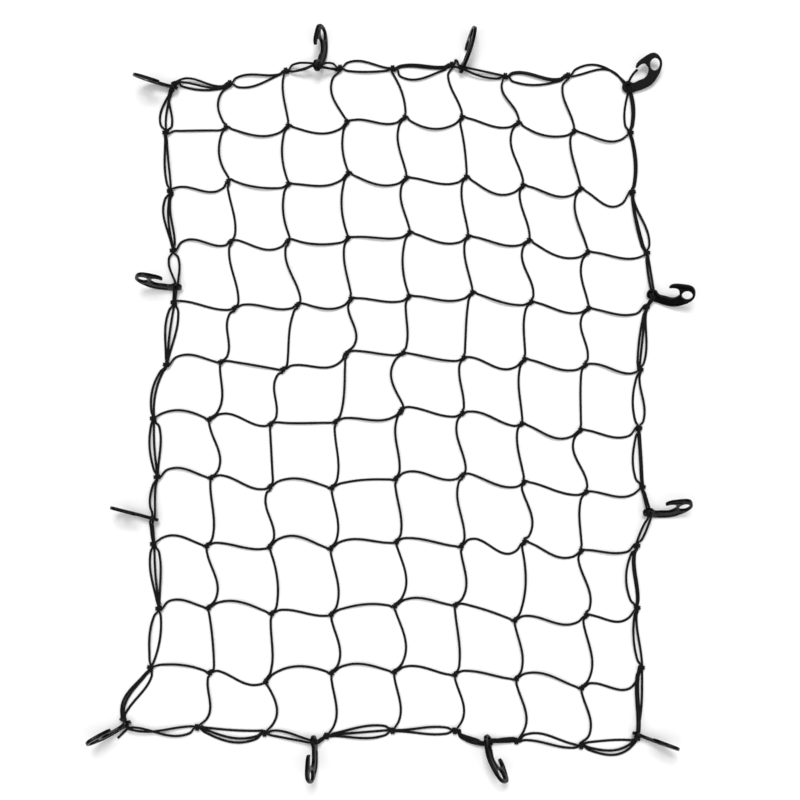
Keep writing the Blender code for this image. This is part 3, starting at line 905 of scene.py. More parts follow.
@dataclass(frozen=True)
class MouldedHook:
    """The moulded hook: a plate with an eye for the cord, a hole in its head, a beak and sunk faces.

    Args:
        plate: the plate's thickness.
        eye_outer: radius of the eye's rim.
        eye_hole: radius of the hole in the eye.
        head_hole: the two radii of the hole in the head.
        head_hole_centre: how far along the hook it lies.
        head_hole_turn: how far it is turned, in degrees.
        rim_from: where the eye's rim starts, in degrees round it from along the hook.
        rim_to: where it ends.
        rim_points: how many points the outline has round the rim.
        rim_checks: how many points of the rim are looked at for the hook's lowest one.
        hole_points: how many points a hole has.
        curve_parts: parts that each stretch between two points is cut into.
        edge: radius of the plate's rounded edges.
        edge_parts: parts that they are cut into.
        smooth_angle: the sharpest edge that is shaded smooth, in degrees.
        sunk: how deep the panels in its faces are.
        floor_gap: how far its lowest point clears the floor.
    """

    plate: float = 4.0
    eye_outer: float = 7.5
    eye_hole: float = 3.5
    head_hole: Pair = (7.5, 6.1)
    head_hole_centre: float = 43.4
    head_hole_turn: float = 45.0
    rim_from: float = -100.0
    rim_to: float = -355.0
    rim_points: int = 7
    rim_checks: int = 24
    hole_points: int = 12
    curve_parts: int = 8
    edge: float = 0.7
    edge_parts: int = 2
    smooth_angle: float = 34.0
    sunk: float = 0.8
    floor_gap: float = 0.3

    def axes(self, lay: HookLay) -> tuple[Vector, Vector, Vector]:
        """The hook's own axes where it lies.

        Args:
            lay: how it lies.

        Returns:
            Along it, towards its beak side, and square to its plate.
        """
        flat = heading(lay.points)
        raised = math.radians(lay.raised)
        turned = math.radians(lay.turned)
        along = at_height(flat * math.cos(raised), math.sin(raised))
        over = at_height(-flat * math.sin(raised), math.cos(raised))
        side = at_height(left_of(flat) * lay.opens.value, 0)
        beak = side * math.cos(turned) + over * math.sin(turned)
        return along, beak, along.cross(beak)

    def rim(self, steps: int) -> list[Pair]:
        """Points on the rim of the eye, round its centre from the back to the throat.

        Args:
            steps: how many points.

        Returns:
            The points, along the hook and towards the beak.
        """
        turns = (
            math.radians(self.rim_from + (self.rim_to - self.rim_from) * step / (steps - 1))
            for step in range(steps)
        )
        return [(self.eye_outer * math.cos(turn), self.eye_outer * math.sin(turn)) for turn in turns]

    def eye_height(self, lay: HookLay) -> float:
        """Height of the eye's centre when the lowest point of the hook just clears the floor.

        Args:
            lay: how the hook lies.

        Returns:
            The height.
        """
        along, beak, square = self.axes(lay)
        outline = BACK_AND_HEAD + THROAT + tuple(self.rim(self.rim_checks))
        lowest = min(point[0] * along.z + point[1] * beak.z for point in outline)
        return self.floor_gap - lowest + abs(square.z) * self.plate / 2

    def eye_place(self, lay: HookLay, along: float) -> Vector:
        """A place on the level line through the eye that runs the way the hook points."""
        place = Vector(lay.eye) + heading(lay.points) * along
        return at_height(place, self.eye_height(lay))

    def through_eye(self, lay: HookLay, along: float, reach: float, lift: float = 0) -> tuple[Vector, Vector]:
        """The two ends of a cord's straight way through the eye.

        Args:
            lay: how the hook lies.
            along: where the cord crosses the eye, along the hook from its centre.
            reach: how far the ends are from the eye's plate.
            lift: how much higher than the eye's centre it crosses.

        Returns:
            The end where the cord comes, and the end where it goes, in clockwise order.
        """
        way = -left_of(heading(lay.points))
        rise = math.tan(math.radians(lay.rise))
        step = at_height(way, rise) * reach
        centre = self.eye_place(lay, along + lay.slid) + Vector((0, 0, lift))
        return centre - step, centre + step

    def oval(self, centre: Pair, radii: Pair, turn: float) -> list[Pair]:
        """Points round a hole.

        Args:
            centre: its centre.
            radii: its two radii.
            turn: how far it is turned, in degrees.

        Returns:
            The points, evenly round it.
        """
        cosine = math.cos(math.radians(turn))
        sine = math.sin(math.radians(turn))
        places = []
        for step in range(self.hole_points):
            angle = math.tau * step / self.hole_points
            x = radii[0] * math.cos(angle)
            y = radii[1] * math.sin(angle)
            places.append((centre[0] + x * cosine - y * sine, centre[1] + x * sine + y * cosine))
        return places

    def flat_solid(self, name: str, loops: Sequence[Sequence[Pair]], half: float, edge: float) -> Object:
        """A flat solid with smooth loops for its outline and holes.

        Args:
            name: its name.
            loops: the outline, then the holes.
            half: half its thickness.
            edge: radius of its rounded edges.

        Returns:
            The solid, as a mesh object.
        """
        curve = bpy.data.curves.new(name, "CURVE")
        curve.dimensions = "2D"
        curve.fill_mode = "BOTH"
        curve.resolution_u = self.curve_parts
        curve.extrude = half - edge
        curve.bevel_depth = edge
        curve.bevel_resolution = self.edge_parts
        curve.offset = -edge
        for loop in loops:
            spline = curve.splines.new("BEZIER")
            spline.bezier_points.add(len(loop) - 1)
            for target, point in zip(spline.bezier_points, loop):
                target.co = (point[0], point[1], 0)
                target.handle_left_type = "VECTOR" if point == SEAT_END else "AUTO"
                target.handle_right_type = "VECTOR" if point == SEAT_START else "AUTO"
            spline.use_cyclic_u = True
        source = link_object(name + "_curve", curve)
        mesh = evaluated_mesh(source)
        bpy.data.objects.remove(source)
        merge_close(mesh)
        return link_object(name, mesh)

    def solid(self) -> Mesh:
        """The hook flat on its side, its eye at the origin and its faces sunk.

        Returns:
            Its mesh, in millimetres.
        """
        outline = self.rim(self.rim_points)[::-1] + list(BACK_AND_HEAD) + list(THROAT)
        eye = self.oval((0, 0), (self.eye_hole, self.eye_hole), 0)
        head = self.oval((self.head_hole_centre, 0), self.head_hole, self.head_hole_turn)
        plate = self.flat_solid("hook_plate", (outline, eye, head), self.plate / 2, self.edge)
        for number, panel in enumerate((ARM_PANEL, BEAK_PANEL)):
            for face in (-1, 1):
                cutter = self.flat_solid(f"panel_{number}", (panel,), self.plate / 2, 0.0)
                cutter.data.transform(Matrix.Translation((0, 0, face * (self.plate - self.sunk))))
                cut = plate.modifiers.new("panel", "BOOLEAN")
                cut.operation = "DIFFERENCE"
                cut.solver = "EXACT"
                cut.object = cutter
                apply_modifiers(plate)
                bpy.data.objects.remove(cutter)
        mesh = plate.data
        bpy.data.objects.remove(plate)
        mesh.shade_smooth()
        mesh.set_sharp_from_angle(angle=math.radians(self.smooth_angle))
        return mesh

    def build(self, name: str, solid: Mesh, material: Material) -> Object:
        """One hook where it lies.

        Args:
            name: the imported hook's name.
            solid: the hook flat on its side.
            material: its finish.

        Returns:
            The hook's object, at the origin with its place in its mesh.
        """
        lay = HOOKS[name]
        along, beak, square = self.axes(lay)
        turn = Matrix((along, beak, square)).transposed().to_4x4()
        mesh = solid.copy()
        eye = self.eye_place(lay, 0)
        mesh.transform(Matrix.Translation((eye + NET_CENTRE) * MM) @ turn @ Matrix.Scale(MM, 4))
        mesh.materials.clear()
        mesh.materials.append(material)
        return link_object(name.replace("hook_", "moulded_hook_"), mesh)


def link_object(name: str, data: bpy.types.ID) -> Object:
    """A new object at the origin, in the scene.

    Args:
        name: its name.
        data: its mesh, curve, light or camera.

    Returns:
        The object.
    """
    thing = bpy.data.objects.new(name, data)
    bpy.context.scene.collection.objects.link(thing)
    return thing


def evaluated_mesh(thing: Object) -> Mesh:
    """A plain mesh of an object as its modifiers or its curve's own sizes make it."""
    return bpy.data.meshes.new_from_object(thing.evaluated_get(bpy.context.evaluated_depsgraph_get()))


def apply_modifiers(thing: Object) -> None:
    """Turn a piece and its modifiers into a plain mesh.

    Args:
        thing: the piece, which keeps its name and loses its modifiers.
    """
    result = evaluated_mesh(thing)
    thing.modifiers.clear()
    thing.data = result


def merge_close(mesh: Mesh) -> None:
    """Merge a moulding's points that lie together, so that it is closed, and point its faces outward.

    Args:
        mesh: the moulding, in millimetres.
    """
    work = bmesh.new()
    work.from_mesh(mesh)
    bmesh.ops.remove_doubles(work, verts=work.verts, dist=MERGED)
    bmesh.ops.dissolve_degenerate(work, edges=work.edges, dist=DROPPED)
    bmesh.ops.recalc_face_normals(work, faces=work.faces)
    work.to_mesh(mesh)
    work.free()


def add_node(tree: bpy.types.NodeTree, kind: str, **settings: object) -> bpy.types.Node:
    """Add a node to a tree.

    Args:
        tree: the tree of a material or of Geometry Nodes.
        kind: the node's type.
        settings: its own settings, by name.

    Returns:
        The node.
    """
    node = tree.nodes.new(kind)
    for name, value in settings.items():
        setattr(node, name, value)
    return node


@dataclass(frozen=True)
class CordRoutes:
    """The ways of all the net's cords, tied together at the knots.

    Args:
        layout: where the knots lie.
        cord: the cord's sizes.
        mesh_knot: the interior knots.
        hitch: the border knots.
        hook: the hooks, whose eyes the border cords run through.
        eye_pass: how far either side of an eye's plate the cords run straight.
        eye_spread: half the distance between the two cords in an eye.
        turn_lane: how far inside the edge a turned-back strand starts.
        end_lane: how far inside it ends.
        under_lift: how far under the eye's centre a third strand goes through it.
        corner_wraps: how far before a corner knot its wraps sit.
        corner_room: how much of a strand a corner knot takes up.
        crosswise_seeds: how far apart the seeds of one crosswise cord and the next lie.
        lengthwise_seeds: the same from one lengthwise cord to the next, and from one strand to the next.
    """

    layout: NetLayout = NetLayout()
    cord: CordSizes = CordSizes()
    mesh_knot: MeshKnot = MeshKnot()
    hitch: BorderHitch = BorderHitch()
    hook: MouldedHook = MouldedHook()
    eye_pass: float = 5.0
    eye_spread: float = 1.6
    turn_lane: float = 3.2
    end_lane: float = 1.0
    under_lift: float = 2.7
    corner_wraps: float = 3.0
    corner_room: float = 4.0
    crosswise_seeds: int = 9
    lengthwise_seeds: tuple[int, int] = (5, 3)

    def leaving(self, here: Vector, other: Vector, form: str, onward: bool) -> Vector:
        """The direction in which a strand leaves a knot.

        Args:
            here: the knot's centre.
            other: the centre of the knot at the strand's other end.
            form: the strand's letter in FORMS.
            onward: whether the strand runs on from this knot, and doesn't come to it.

        Returns:
            The direction as seen from above.
        """
        start, end = (here, other) if onward else (other, here)
        share = self.cord.knot_room / (end - start).length
        place = bowed(start, end, FORMS[form], share if onward else 1 - share)
        return (place - here).normalized()

    def knot_diagonal(self, row: int, column: int) -> Vector:
        """Direction of an interior knot's doubled stretch, to the upper right.

        Args:
            row: its row, counted from the top edge.
            column: its column, counted from the left edge.

        Returns:
            The direction as seen from above.
        """
        knot = self.layout.knot
        here = knot(row, column)
        left = self.leaving(here, knot(row, column - 1), CROSSWISE[row][column - 1], False)
        right = self.leaving(here, knot(row, column + 1), CROSSWISE[row][column], True)
        above = self.leaving(here, knot(row - 1, column), LENGTHWISE[column][row - 1], False)
        below = self.leaving(here, knot(row + 1, column), LENGTHWISE[column][row], True)
        return (above + right - left - below).normalized()

    def strand_end(self, row: int, column: int, end: Lump) -> tuple[Vector, float]:
        """Where the strands at one end of a knot meet it.

        Args:
            row: the knot's row.
            column: its column.
            end: the end of the knot.

        Returns:
            The place, and how much of a strand from it the knot takes up.
        """
        centre = self.layout.knot(row, column)
        if not (0 < row < self.layout.last_row and 0 < column < self.layout.last_column):
            corner = Vector((end.value, end.value)).normalized() * self.hitch.entry
            return centre + corner, self.cord.knot_room
        at_lump = end is self.layout.lump(row, column)
        reach = self.mesh_knot.lump_end if at_lump else self.mesh_knot.doubled_end
        diagonal = self.knot_diagonal(row, column)
        shift = self.mesh_knot.shift(self.layout.lump(row, column))
        return centre + diagonal * (reach * end.value - shift), self.mesh_knot.strand_room

    def mesh_strand(self, first: tuple[int, int], second: tuple[int, int], form: str, seed: int) -> CordPath:
        """A strand between two of the net's knots.

        Args:
            first: row and column of the knot it leaves.
            second: row and column of the knot it comes to.
            form: its letter in FORMS.
            seed: picks how far it stands up.

        Returns:
            Its path, without the ends inside the knots.
        """
        ends = (Lump.LOWER_LEFT, Lump.UPPER_RIGHT)
        leaves, arrives = reversed(ends) if second[1] > first[1] else ends
        start, start_room = self.strand_end(*first, leaves)
        end, end_room = self.strand_end(*second, arrives)
        return self.cord.strand(start, end, FORMS[form], seed, (start_room, end_room))

    def crosswise(self, row: int) -> CordPath:
        """A crosswise cord from the left border knot to the right one, through its interior knots.

        Args:
            row: the cord's row.

        Returns:
            Its path, without the border hitches.
        """
        path = CordPath([], [])
        for column, form in enumerate(CROSSWISE[row]):
            seed = row * self.crosswise_seeds + column
            path.extend(self.mesh_strand((row, column), (row, column + 1), form, seed))
            if column < self.layout.last_column - 1:
                path.extend(self._through_knot(row, column + 1, self.mesh_knot.core()))
        return path

    def lengthwise(self, column: int) -> CordPath:
        """A lengthwise cord from the top border knot to the bottom one, through its interior knots.

        Args:
            column: the cord's column.

        Returns:
            Its path, without the border hitches.
        """
        path = CordPath([], [])
        next_cord, next_strand = self.lengthwise_seeds
        for row, form in enumerate(LENGTHWISE[column]):
            seed = column * next_cord + row * next_strand
            path.extend(self.mesh_strand((row, column), (row + 1, column), form, seed))
            if row < self.layout.last_row - 1:
                path.extend(self._through_knot(row + 1, column, self.mesh_knot.wraps()))
        return path

    def _through_knot(self, row: int, column: int, places: list[Place]) -> CordPath:
        """One cord's way through an interior knot.

        Args:
            row: its row, counted from the top edge.
            column: its column, counted from the left edge.
            places: the cord's places in it, as MeshKnot gives them.

        Returns:
            The cord's path through it.
        """
        centre = self.layout.knot(row, column)
        diagonal = self.knot_diagonal(row, column)
        return self.mesh_knot.placed(places, centre, diagonal, self.layout.lump(row, column))

    def turned_back(self, mesh: str, way: Way) -> CordPath:
        """A mesh cord's strand along a border mesh, after its hitch.

        Args:
            mesh: the border mesh.
            way: which way along it the strand runs from its own knot.

        Returns:
            Its path, from its own knot into the next.
        """
        side = SIDE_LETTERS[mesh[0]]
        index = SIDE_MESHES[side].index(mesh)
        lanes = (self.turn_lane, self.end_lane) if way is Way.CLOCKWISE else (self.end_lane, self.turn_lane)
        start = self.layout.beside(side, index, 0, -lanes[0], self.cord.radius)
        end = self.layout.beside(side, index + 1, 0, -lanes[1], self.cord.radius)
        room = self.cord.knot_room
        if mesh in HOOK_IN_MESH:
            lay = HOOKS[HOOK_IN_MESH[mesh]]
            eye = self.hook.through_eye(lay, 0.0, self.eye_pass, -self.under_lift)
            path = self._through_mesh_eye(start, eye, end, HOOK_LEGS[mesh][2])
        else:
            path = self.cord.strand(start, end, BORDER[mesh][2], index, (room, room))
        if way is Way.BACK:
            path = path.reversed_way()
        end_index = self.far_knot(mesh, way)[1]
        if end_index in (0, len(SIDE_MESHES[side])):
            self._end_in_corner(path, side, end_index, way)
        else:
            self._end_held(path, side, end_index, way, self.hitch.held_end)
        return path

    def _through_mesh_eye(self, start: Vector, eye: Sequence[Vector], end: Vector, forms: Legs) -> CordPath:
        """A border strand between two knots, through the eye of the hook between them.

        Args:
            start: where it leaves the first knot.
            eye: the ends of its straight way through the eye.
            end: where it comes to the next knot.
            forms: its angles into the eye, and out of it.

        Returns:
            Its path, without the ends inside the knots.
        """
        room = self.cord.knot_room
        path = self.cord.strand(start, eye[0], forms[0], 0, (room, 0.0))
        path.extend(self.cord.strand(eye[1], end, forms[1], 0, (0.0, room)))
        return path

    def _end_in_corner(self, path: CordPath, side: Side, index: int, way: Way) -> None:
        """Lead a turned-back strand to a corner knot: those of the sides wrap it, the others end in it.

        Args:
            path: the strand's path so far.
            side: the side of the net.
            index: the knot, counted clockwise from the side's first.
            way: which way the strand runs.
        """
        if side in (Side.TOP, Side.BOTTOM):
            self._end_held(path, side, index, way, self.hitch.corner_end)
            return
        wraps = self.hitch.wraps(self.layout, side, index, way, True)
        shift = self.layout.clockwise(side, index) * -self.corner_wraps * way.value
        path.extend(CordPath([place + at_height(shift, 0) for place in wraps.points], wraps.radii))

    def _end_held(self, path: CordPath, side: Side, index: int, way: Way, ends: Sequence[Place]) -> None:
        """Lead a turned-back strand to its end, held on top of a border knot's cords.

        Args:
            path: the strand's path so far.
            side: the side of the net.
            index: the knot, counted clockwise.
            way: which way the strand runs.
            ends: the end's places, as BorderHitch gives them.
        """
        held = self.hitch.bundle_height(True) + self.hitch.held_over
        for along, out, up in ends:
            path.add(self.layout.beside(side, index, along * way.value, out, held + up), self.cord.drawn)

    def far_knot(self, mesh: str, way: Way) -> tuple[Side, int]:
        """The border knot that a strand along a border mesh comes to.

        Args:
            mesh: the border mesh.
            way: which way the strand runs.

        Returns:
            The knot's side, and its number counted clockwise.
        """
        side = SIDE_LETTERS[mesh[0]]
        index = SIDE_MESHES[side].index(mesh)
        return side, index + 1 if way is Way.CLOCKWISE else index

    def holds_end(self, side: Side, index: int) -> bool:
        """Whether a turned-back strand of another cord ends in a border knot."""
        return (side, index) in {self.far_knot(mesh, way) for mesh, way in TURNED_BACK.values()}

    def tied_end(self, name: str, side: Side, index: int) -> CordPath:
        """A mesh cord's hitch at a border knot and what follows it.

        Args:
            name: the cord's end, as TURNED_BACK names it.
            side: the side of the net.
            index: the knot, counted clockwise.

        Returns:
            The path from the net's side of the knot outward.
        """
        holds = self.holds_end(side, index)
        mesh, way = TURNED_BACK.get(name, (None, Way.CLOCKWISE))
        path = self.hitch.wraps(self.layout, side, index, way, holds)
        wraps_end = self.hitch.half_length
        if mesh is None:
            for along, out, up in self.hitch.tucked_end:
                path.add(self.layout.beside(side, index, wraps_end + along, out, up), self.hitch.drawn)
            return path
        along, out, up = self.hitch.turn
        place = self.layout.beside(side, index, way.value * (wraps_end + along), out, up)
        path.add(place, self.cord.half_drawn())
        path.extend(self.turned_back(mesh, way))
        return path

    def crosswise_cord(self, row: int) -> CordPath:
        """A whole crosswise cord with its border hitches and turned-back strands.

        Args:
            row: the cord's row.

        Returns:
            Its path from end to end.
        """
        left_index = self.layout.last_row - row
        left = self.tied_end(f"cross_{row:02d}_start", Side.LEFT, left_index).reversed_way()
        left.extend(self.crosswise(row))
        left.extend(self.tied_end(f"cross_{row:02d}_end", Side.RIGHT, row))
        return left

    def lengthwise_cord(self, column: int) -> CordPath:
        """A whole lengthwise cord with its border hitches and turned-back strands.

        Args:
            column: the cord's column.

        Returns:
            Its path from end to end.
        """
        bottom_index = self.layout.last_column - column
        top = self.tied_end(f"length_{column}_start", Side.TOP, column).reversed_way()
        top.extend(self.lengthwise(column))
        top.extend(self.tied_end(f"length_{column}_end", Side.BOTTOM, bottom_index))
        return top

    def at_knot(self, side: Side, index: int, out: float) -> CordPath:
        """The edge or perimeter cord's way through a border knot.

        Args:
            side: the side of the net.
            index: the knot, counted clockwise from the side's first.
            out: how far out of the knot's centre the cord lies.

        Returns:
            The straight stretch in the knot.
        """
        height = self.hitch.bundle_height(self.holds_end(side, index))
        path = CordPath([], [])
        for along in (-self.hitch.straight, self.hitch.straight):
            path.add(self.layout.beside(side, index, along, out, height), self.hitch.drawn)
        return path

    def lane(self, cord: BorderCord) -> float:
        """How far out of the border knots' centres a border cord lies."""
        return self.hitch.spread if cord is BorderCord.PERIMETER else -self.hitch.spread

    def border_strand(self, side: Side, index: int, cord: BorderCord) -> CordPath:
        """One border mesh's strand of a border cord, between two knots that aren't corners.

        Args:
            side: the side of the net.
            index: the mesh, counted clockwise.
            cord: the border cord.

        Returns:
            The strand's path, without the ends inside the knots.
        """
        mesh = SIDE_MESHES[side][index]
        start = self.layout.beside(side, index, 0, self.lane(cord), self.cord.radius)
        end = self.layout.beside(side, index + 1, 0, self.lane(cord), self.cord.radius)
        if mesh not in HOOK_IN_MESH:
            seed = index * len(BorderCord) + cord.value
            rooms = (self.cord.knot_room, self.cord.knot_room)
            return self.cord.strand(start, end, BORDER[mesh][cord.value], seed, rooms)
        spread = self.eye_spread if cord is BorderCord.PERIMETER else -self.eye_spread
        eye = self.hook.through_eye(HOOKS[HOOK_IN_MESH[mesh]], spread, self.eye_pass)
        return self._through_mesh_eye(start, eye, end, HOOK_LEGS[mesh][cord.value])

    def border_loop(self, cord: BorderCord) -> CordPath:
        """A border cord all round the net and through every hook's eye.

        Args:
            cord: the border cord.

        Returns:
            Its path, clockwise from the top left corner.
        """
        path = CordPath([], [], closed=True)
        sides = list(SIDE_MESHES)
        for number, side in enumerate(sides):
            before, after = self.corner_pass(side, cord)
            first = self.corner_pass(sides[number - 1], cord)[1]
            last = before
            if side in (Side.LEFT, Side.RIGHT):
                first = self.in_corner_wraps(side, 0, cord)
                path.add(first, self.cord.drawn)
            if side is Side.LEFT:
                last = self.in_corner_wraps(side, len(SIDE_MESHES[side]), cord)
            if side is Side.BOTTOM:
                first = self.in_corner_wraps(Side.RIGHT, self.layout.last_row, cord)
                path.add(first, self.cord.drawn)
            path.extend(self._along_side(side, cord, first, last))
            if last is not before:
                path.add(last, self.cord.drawn)
            path.add(before, self.cord.radius)
            path.add(after, self.cord.radius)
        return path

    def _along_side(self, side: Side, cord: BorderCord, first: Vector, last: Vector) -> CordPath:
        """A border cord along one side of the net.

        Args:
            side: the side.
            cord: the border cord.
            first: where it comes from the side's first corner.
            last: where it goes to at the side's last corner.

        Returns:
            Its path between the two corners, clockwise.
        """
        path = CordPath([], [])
        meshes = SIDE_MESHES[side]
        for index, mesh in enumerate(meshes):
            form = BORDER[mesh][cord.value] if mesh in BORDER else None
            if index == 0:
                end = self.layout.beside(side, 1, 0, self.lane(cord), self.cord.radius)
                rooms = (self.corner_room, self.cord.knot_room)
                path.extend(self.cord.strand(first, end, form, 0, rooms))
            elif index == len(meshes) - 1:
                start = self.layout.beside(side, index, 0, self.lane(cord), self.cord.radius)
                rooms = (self.cord.knot_room, self.corner_room)
                path.extend(self.cord.strand(start, last, form, 0, rooms))
            else:
                path.extend(self.border_strand(side, index, cord))
            if index < len(meshes) - 1:
                path.extend(self.at_knot(side, index + 1, self.lane(cord)))
        return path

    def in_corner_wraps(self, side: Side, index: int, cord: BorderCord) -> Vector:
        """Where a border cord lies in a corner knot's wraps.

        Args:
            side: the side of the net.
            index: the knot, counted clockwise from the side's first.
            cord: the border cord.

        Returns:
            The place in space.
        """
        inward = self.corner_wraps if index == 0 else -self.corner_wraps
        height = self.hitch.bundle_height(True)
        return self.layout.beside(side, index, inward, self.lane(cord), height)

    def tail(self, places: Sequence[Place]) -> CordPath:
        """A cord's free end out of its corner knot, through the places given."""
        return CordPath([Vector(place) for place in places], [self.cord.radius] * len(places))

    def corner_pass(self, side: Side, cord: BorderCord) -> tuple[Vector, Vector]:
        """A border cord's two points either side of the eye at a side's far corner.

        Args:
            side: the side of the net.
            cord: the border cord.

        Returns:
            The places before the eye and after it, clockwise.
        """
        name = CORNER_HOOK[side]
        along, lift = CORNER_CORDS_AT[name][cord.value]
        return self.hook.through_eye(HOOKS[name], along, self.eye_pass, lift)


@dataclass
class CordSweep:
    """Sweeps cords along their routes with a Geometry Nodes tree.

    Args:
        sides: how many sides a cord's section has.
        floor_gap: how far a cord clears the floor.
    """

    LAY: ClassVar[str] = "lay"
    THICKNESS: ClassVar[str] = "thickness"
    sides: int = 12
    floor_gap: float = 0.02

    def __post_init__(self) -> None:
        """Build the tree."""
        self.tree = bpy.data.node_groups.new("sweep_cord", "GeometryNodeTree")
        self.tree.interface.new_socket("Route", in_out="INPUT", socket_type="NodeSocketGeometry")
        sides_socket = self.tree.interface.new_socket("Sides", in_out="INPUT", socket_type="NodeSocketInt")
        finish = self.tree.interface.new_socket("Finish", in_out="INPUT", socket_type="NodeSocketMaterial")
        self.tree.interface.new_socket("Cord", in_out="OUTPUT", socket_type="NodeSocketGeometry")
        self.sides_input = sides_socket.identifier
        self.finish_input = finish.identifier
        self._fill_tree()

    def _fill_tree(self) -> None:
        """Lay out the nodes: route to curve, sweep, lay attribute, smooth, realize, finish."""
        join = self.tree.links.new
        start = add_node(self.tree, "NodeGroupInput")
        end = add_node(self.tree, "NodeGroupOutput")
        curve = add_node(self.tree, "GeometryNodeMeshToCurve")
        join(start.outputs["Route"], curve.inputs["Mesh"])
        length = add_node(self.tree, "GeometryNodeSplineParameter")
        kept_length = add_node(self.tree, "GeometryNodeCaptureAttribute")
        kept_length.capture_items.new("FLOAT", "Length")
        join(curve.outputs["Curve"], kept_length.inputs["Geometry"])
        join(length.outputs["Length"], kept_length.inputs["Length"])
        circle = add_node(self.tree, "GeometryNodeCurvePrimitiveCircle")
        circle.inputs["Radius"].default_value = 1.0
        join(start.outputs["Sides"], circle.inputs["Resolution"])
        place = add_node(self.tree, "GeometryNodeInputPosition")
        kept_turn = add_node(self.tree, "GeometryNodeCaptureAttribute")
        kept_turn.capture_items.new("VECTOR", "Turn")
        join(circle.outputs["Curve"], kept_turn.inputs["Geometry"])
        join(place.outputs["Position"], kept_turn.inputs["Turn"])
        thickness = add_node(self.tree, "GeometryNodeInputNamedAttribute", data_type="FLOAT")
        thickness.inputs["Name"].default_value = self.THICKNESS
        sweep = add_node(self.tree, "GeometryNodeCurveToMesh")
        sweep.inputs["Fill Caps"].default_value = True
        join(kept_length.outputs["Geometry"], sweep.inputs["Curve"])
        join(kept_turn.outputs["Geometry"], sweep.inputs["Profile Curve"])
        join(thickness.outputs["Attribute"], sweep.inputs["Scale"])
        split = add_node(self.tree, "ShaderNodeSeparateXYZ")
        join(kept_turn.outputs["Turn"], split.inputs["Vector"])
        merge = add_node(self.tree, "ShaderNodeCombineXYZ")
        join(split.outputs["X"], merge.inputs["X"])
        join(split.outputs["Y"], merge.inputs["Y"])
        join(kept_length.outputs["Length"], merge.inputs["Z"])
        store = add_node(self.tree, "GeometryNodeStoreNamedAttribute", data_type="FLOAT_VECTOR")
        store.domain = "POINT"
        store.inputs["Name"].default_value = self.LAY
        join(sweep.outputs["Mesh"], store.inputs["Geometry"])
        join(merge.outputs["Vector"], store.inputs["Value"])
        smooth = add_node(self.tree, "GeometryNodeSetShadeSmooth")
        join(store.outputs["Geometry"], smooth.inputs["Geometry"])
        realize = add_node(self.tree, "GeometryNodeRealizeInstances")
        join(smooth.outputs["Geometry"], realize.inputs["Geometry"])
        dress = add_node(self.tree, "GeometryNodeSetMaterial")
        join(realize.outputs["Geometry"], dress.inputs["Geometry"])
        join(start.outputs["Finish"], dress.inputs["Material"])
        join(dress.outputs["Geometry"], end.inputs["Cord"])

    def route_mesh(self, name: str, path: CordPath) -> Mesh:
        """A route as a chain of edges with the cord's thickness at each point.

        Args:
            name: the mesh's name.
            path: the route in millimetres.

        Returns:
            The chain in metres, about the net's centre.
        """
        smooth = path.smooth()
        count = len(smooth.points)
        places = []
        for place, radius in zip(smooth.points, smooth.radii):
            height = max(place.z, radius + self.floor_gap)
            places.append(tuple((at_height(place, height) + NET_CENTRE) * MM))
        edges = [(index, index + 1) for index in range(count - 1)]
        if smooth.closed:
            edges.append((count - 1, 0))
        mesh = bpy.data.meshes.new(name)
        mesh.from_pydata(places, edges, [])
        thickness = mesh.attributes.new(self.THICKNESS, "FLOAT", "POINT")
        thickness.data.foreach_set("value", [radius * MM for radius in smooth.radii])
        return mesh

    def build(self, name: str, path: CordPath, finish: Material) -> Object:
        """A cord swept along a route.

        Args:
            name: the piece's name.
            path: the cord's route and radii.
            finish: its material.

        Returns:
            The cord, a plain mesh at the origin.
        """
        piece = link_object(name, self.route_mesh(name, path))
        sweep = piece.modifiers.new("sweep", "NODES")
        sweep.node_group = self.tree
        sweep[self.sides_input] = self.sides
        sweep[self.finish_input] = finish
        apply_modifiers(piece)
        return piece


class Blend(Enum):
    """What a Mix node blends, with the numbers of its two inputs and its output."""

    FLOAT = (2, 3, 0)
    RGBA = (6, 7, 2)


@dataclass(frozen=True)
class Grain:
    """A noise in a finish.

    Args:
        scale: how many of its bumps fit in a metre.
        detail: how many finer layers it has.
    """

    scale: float
    detail: float


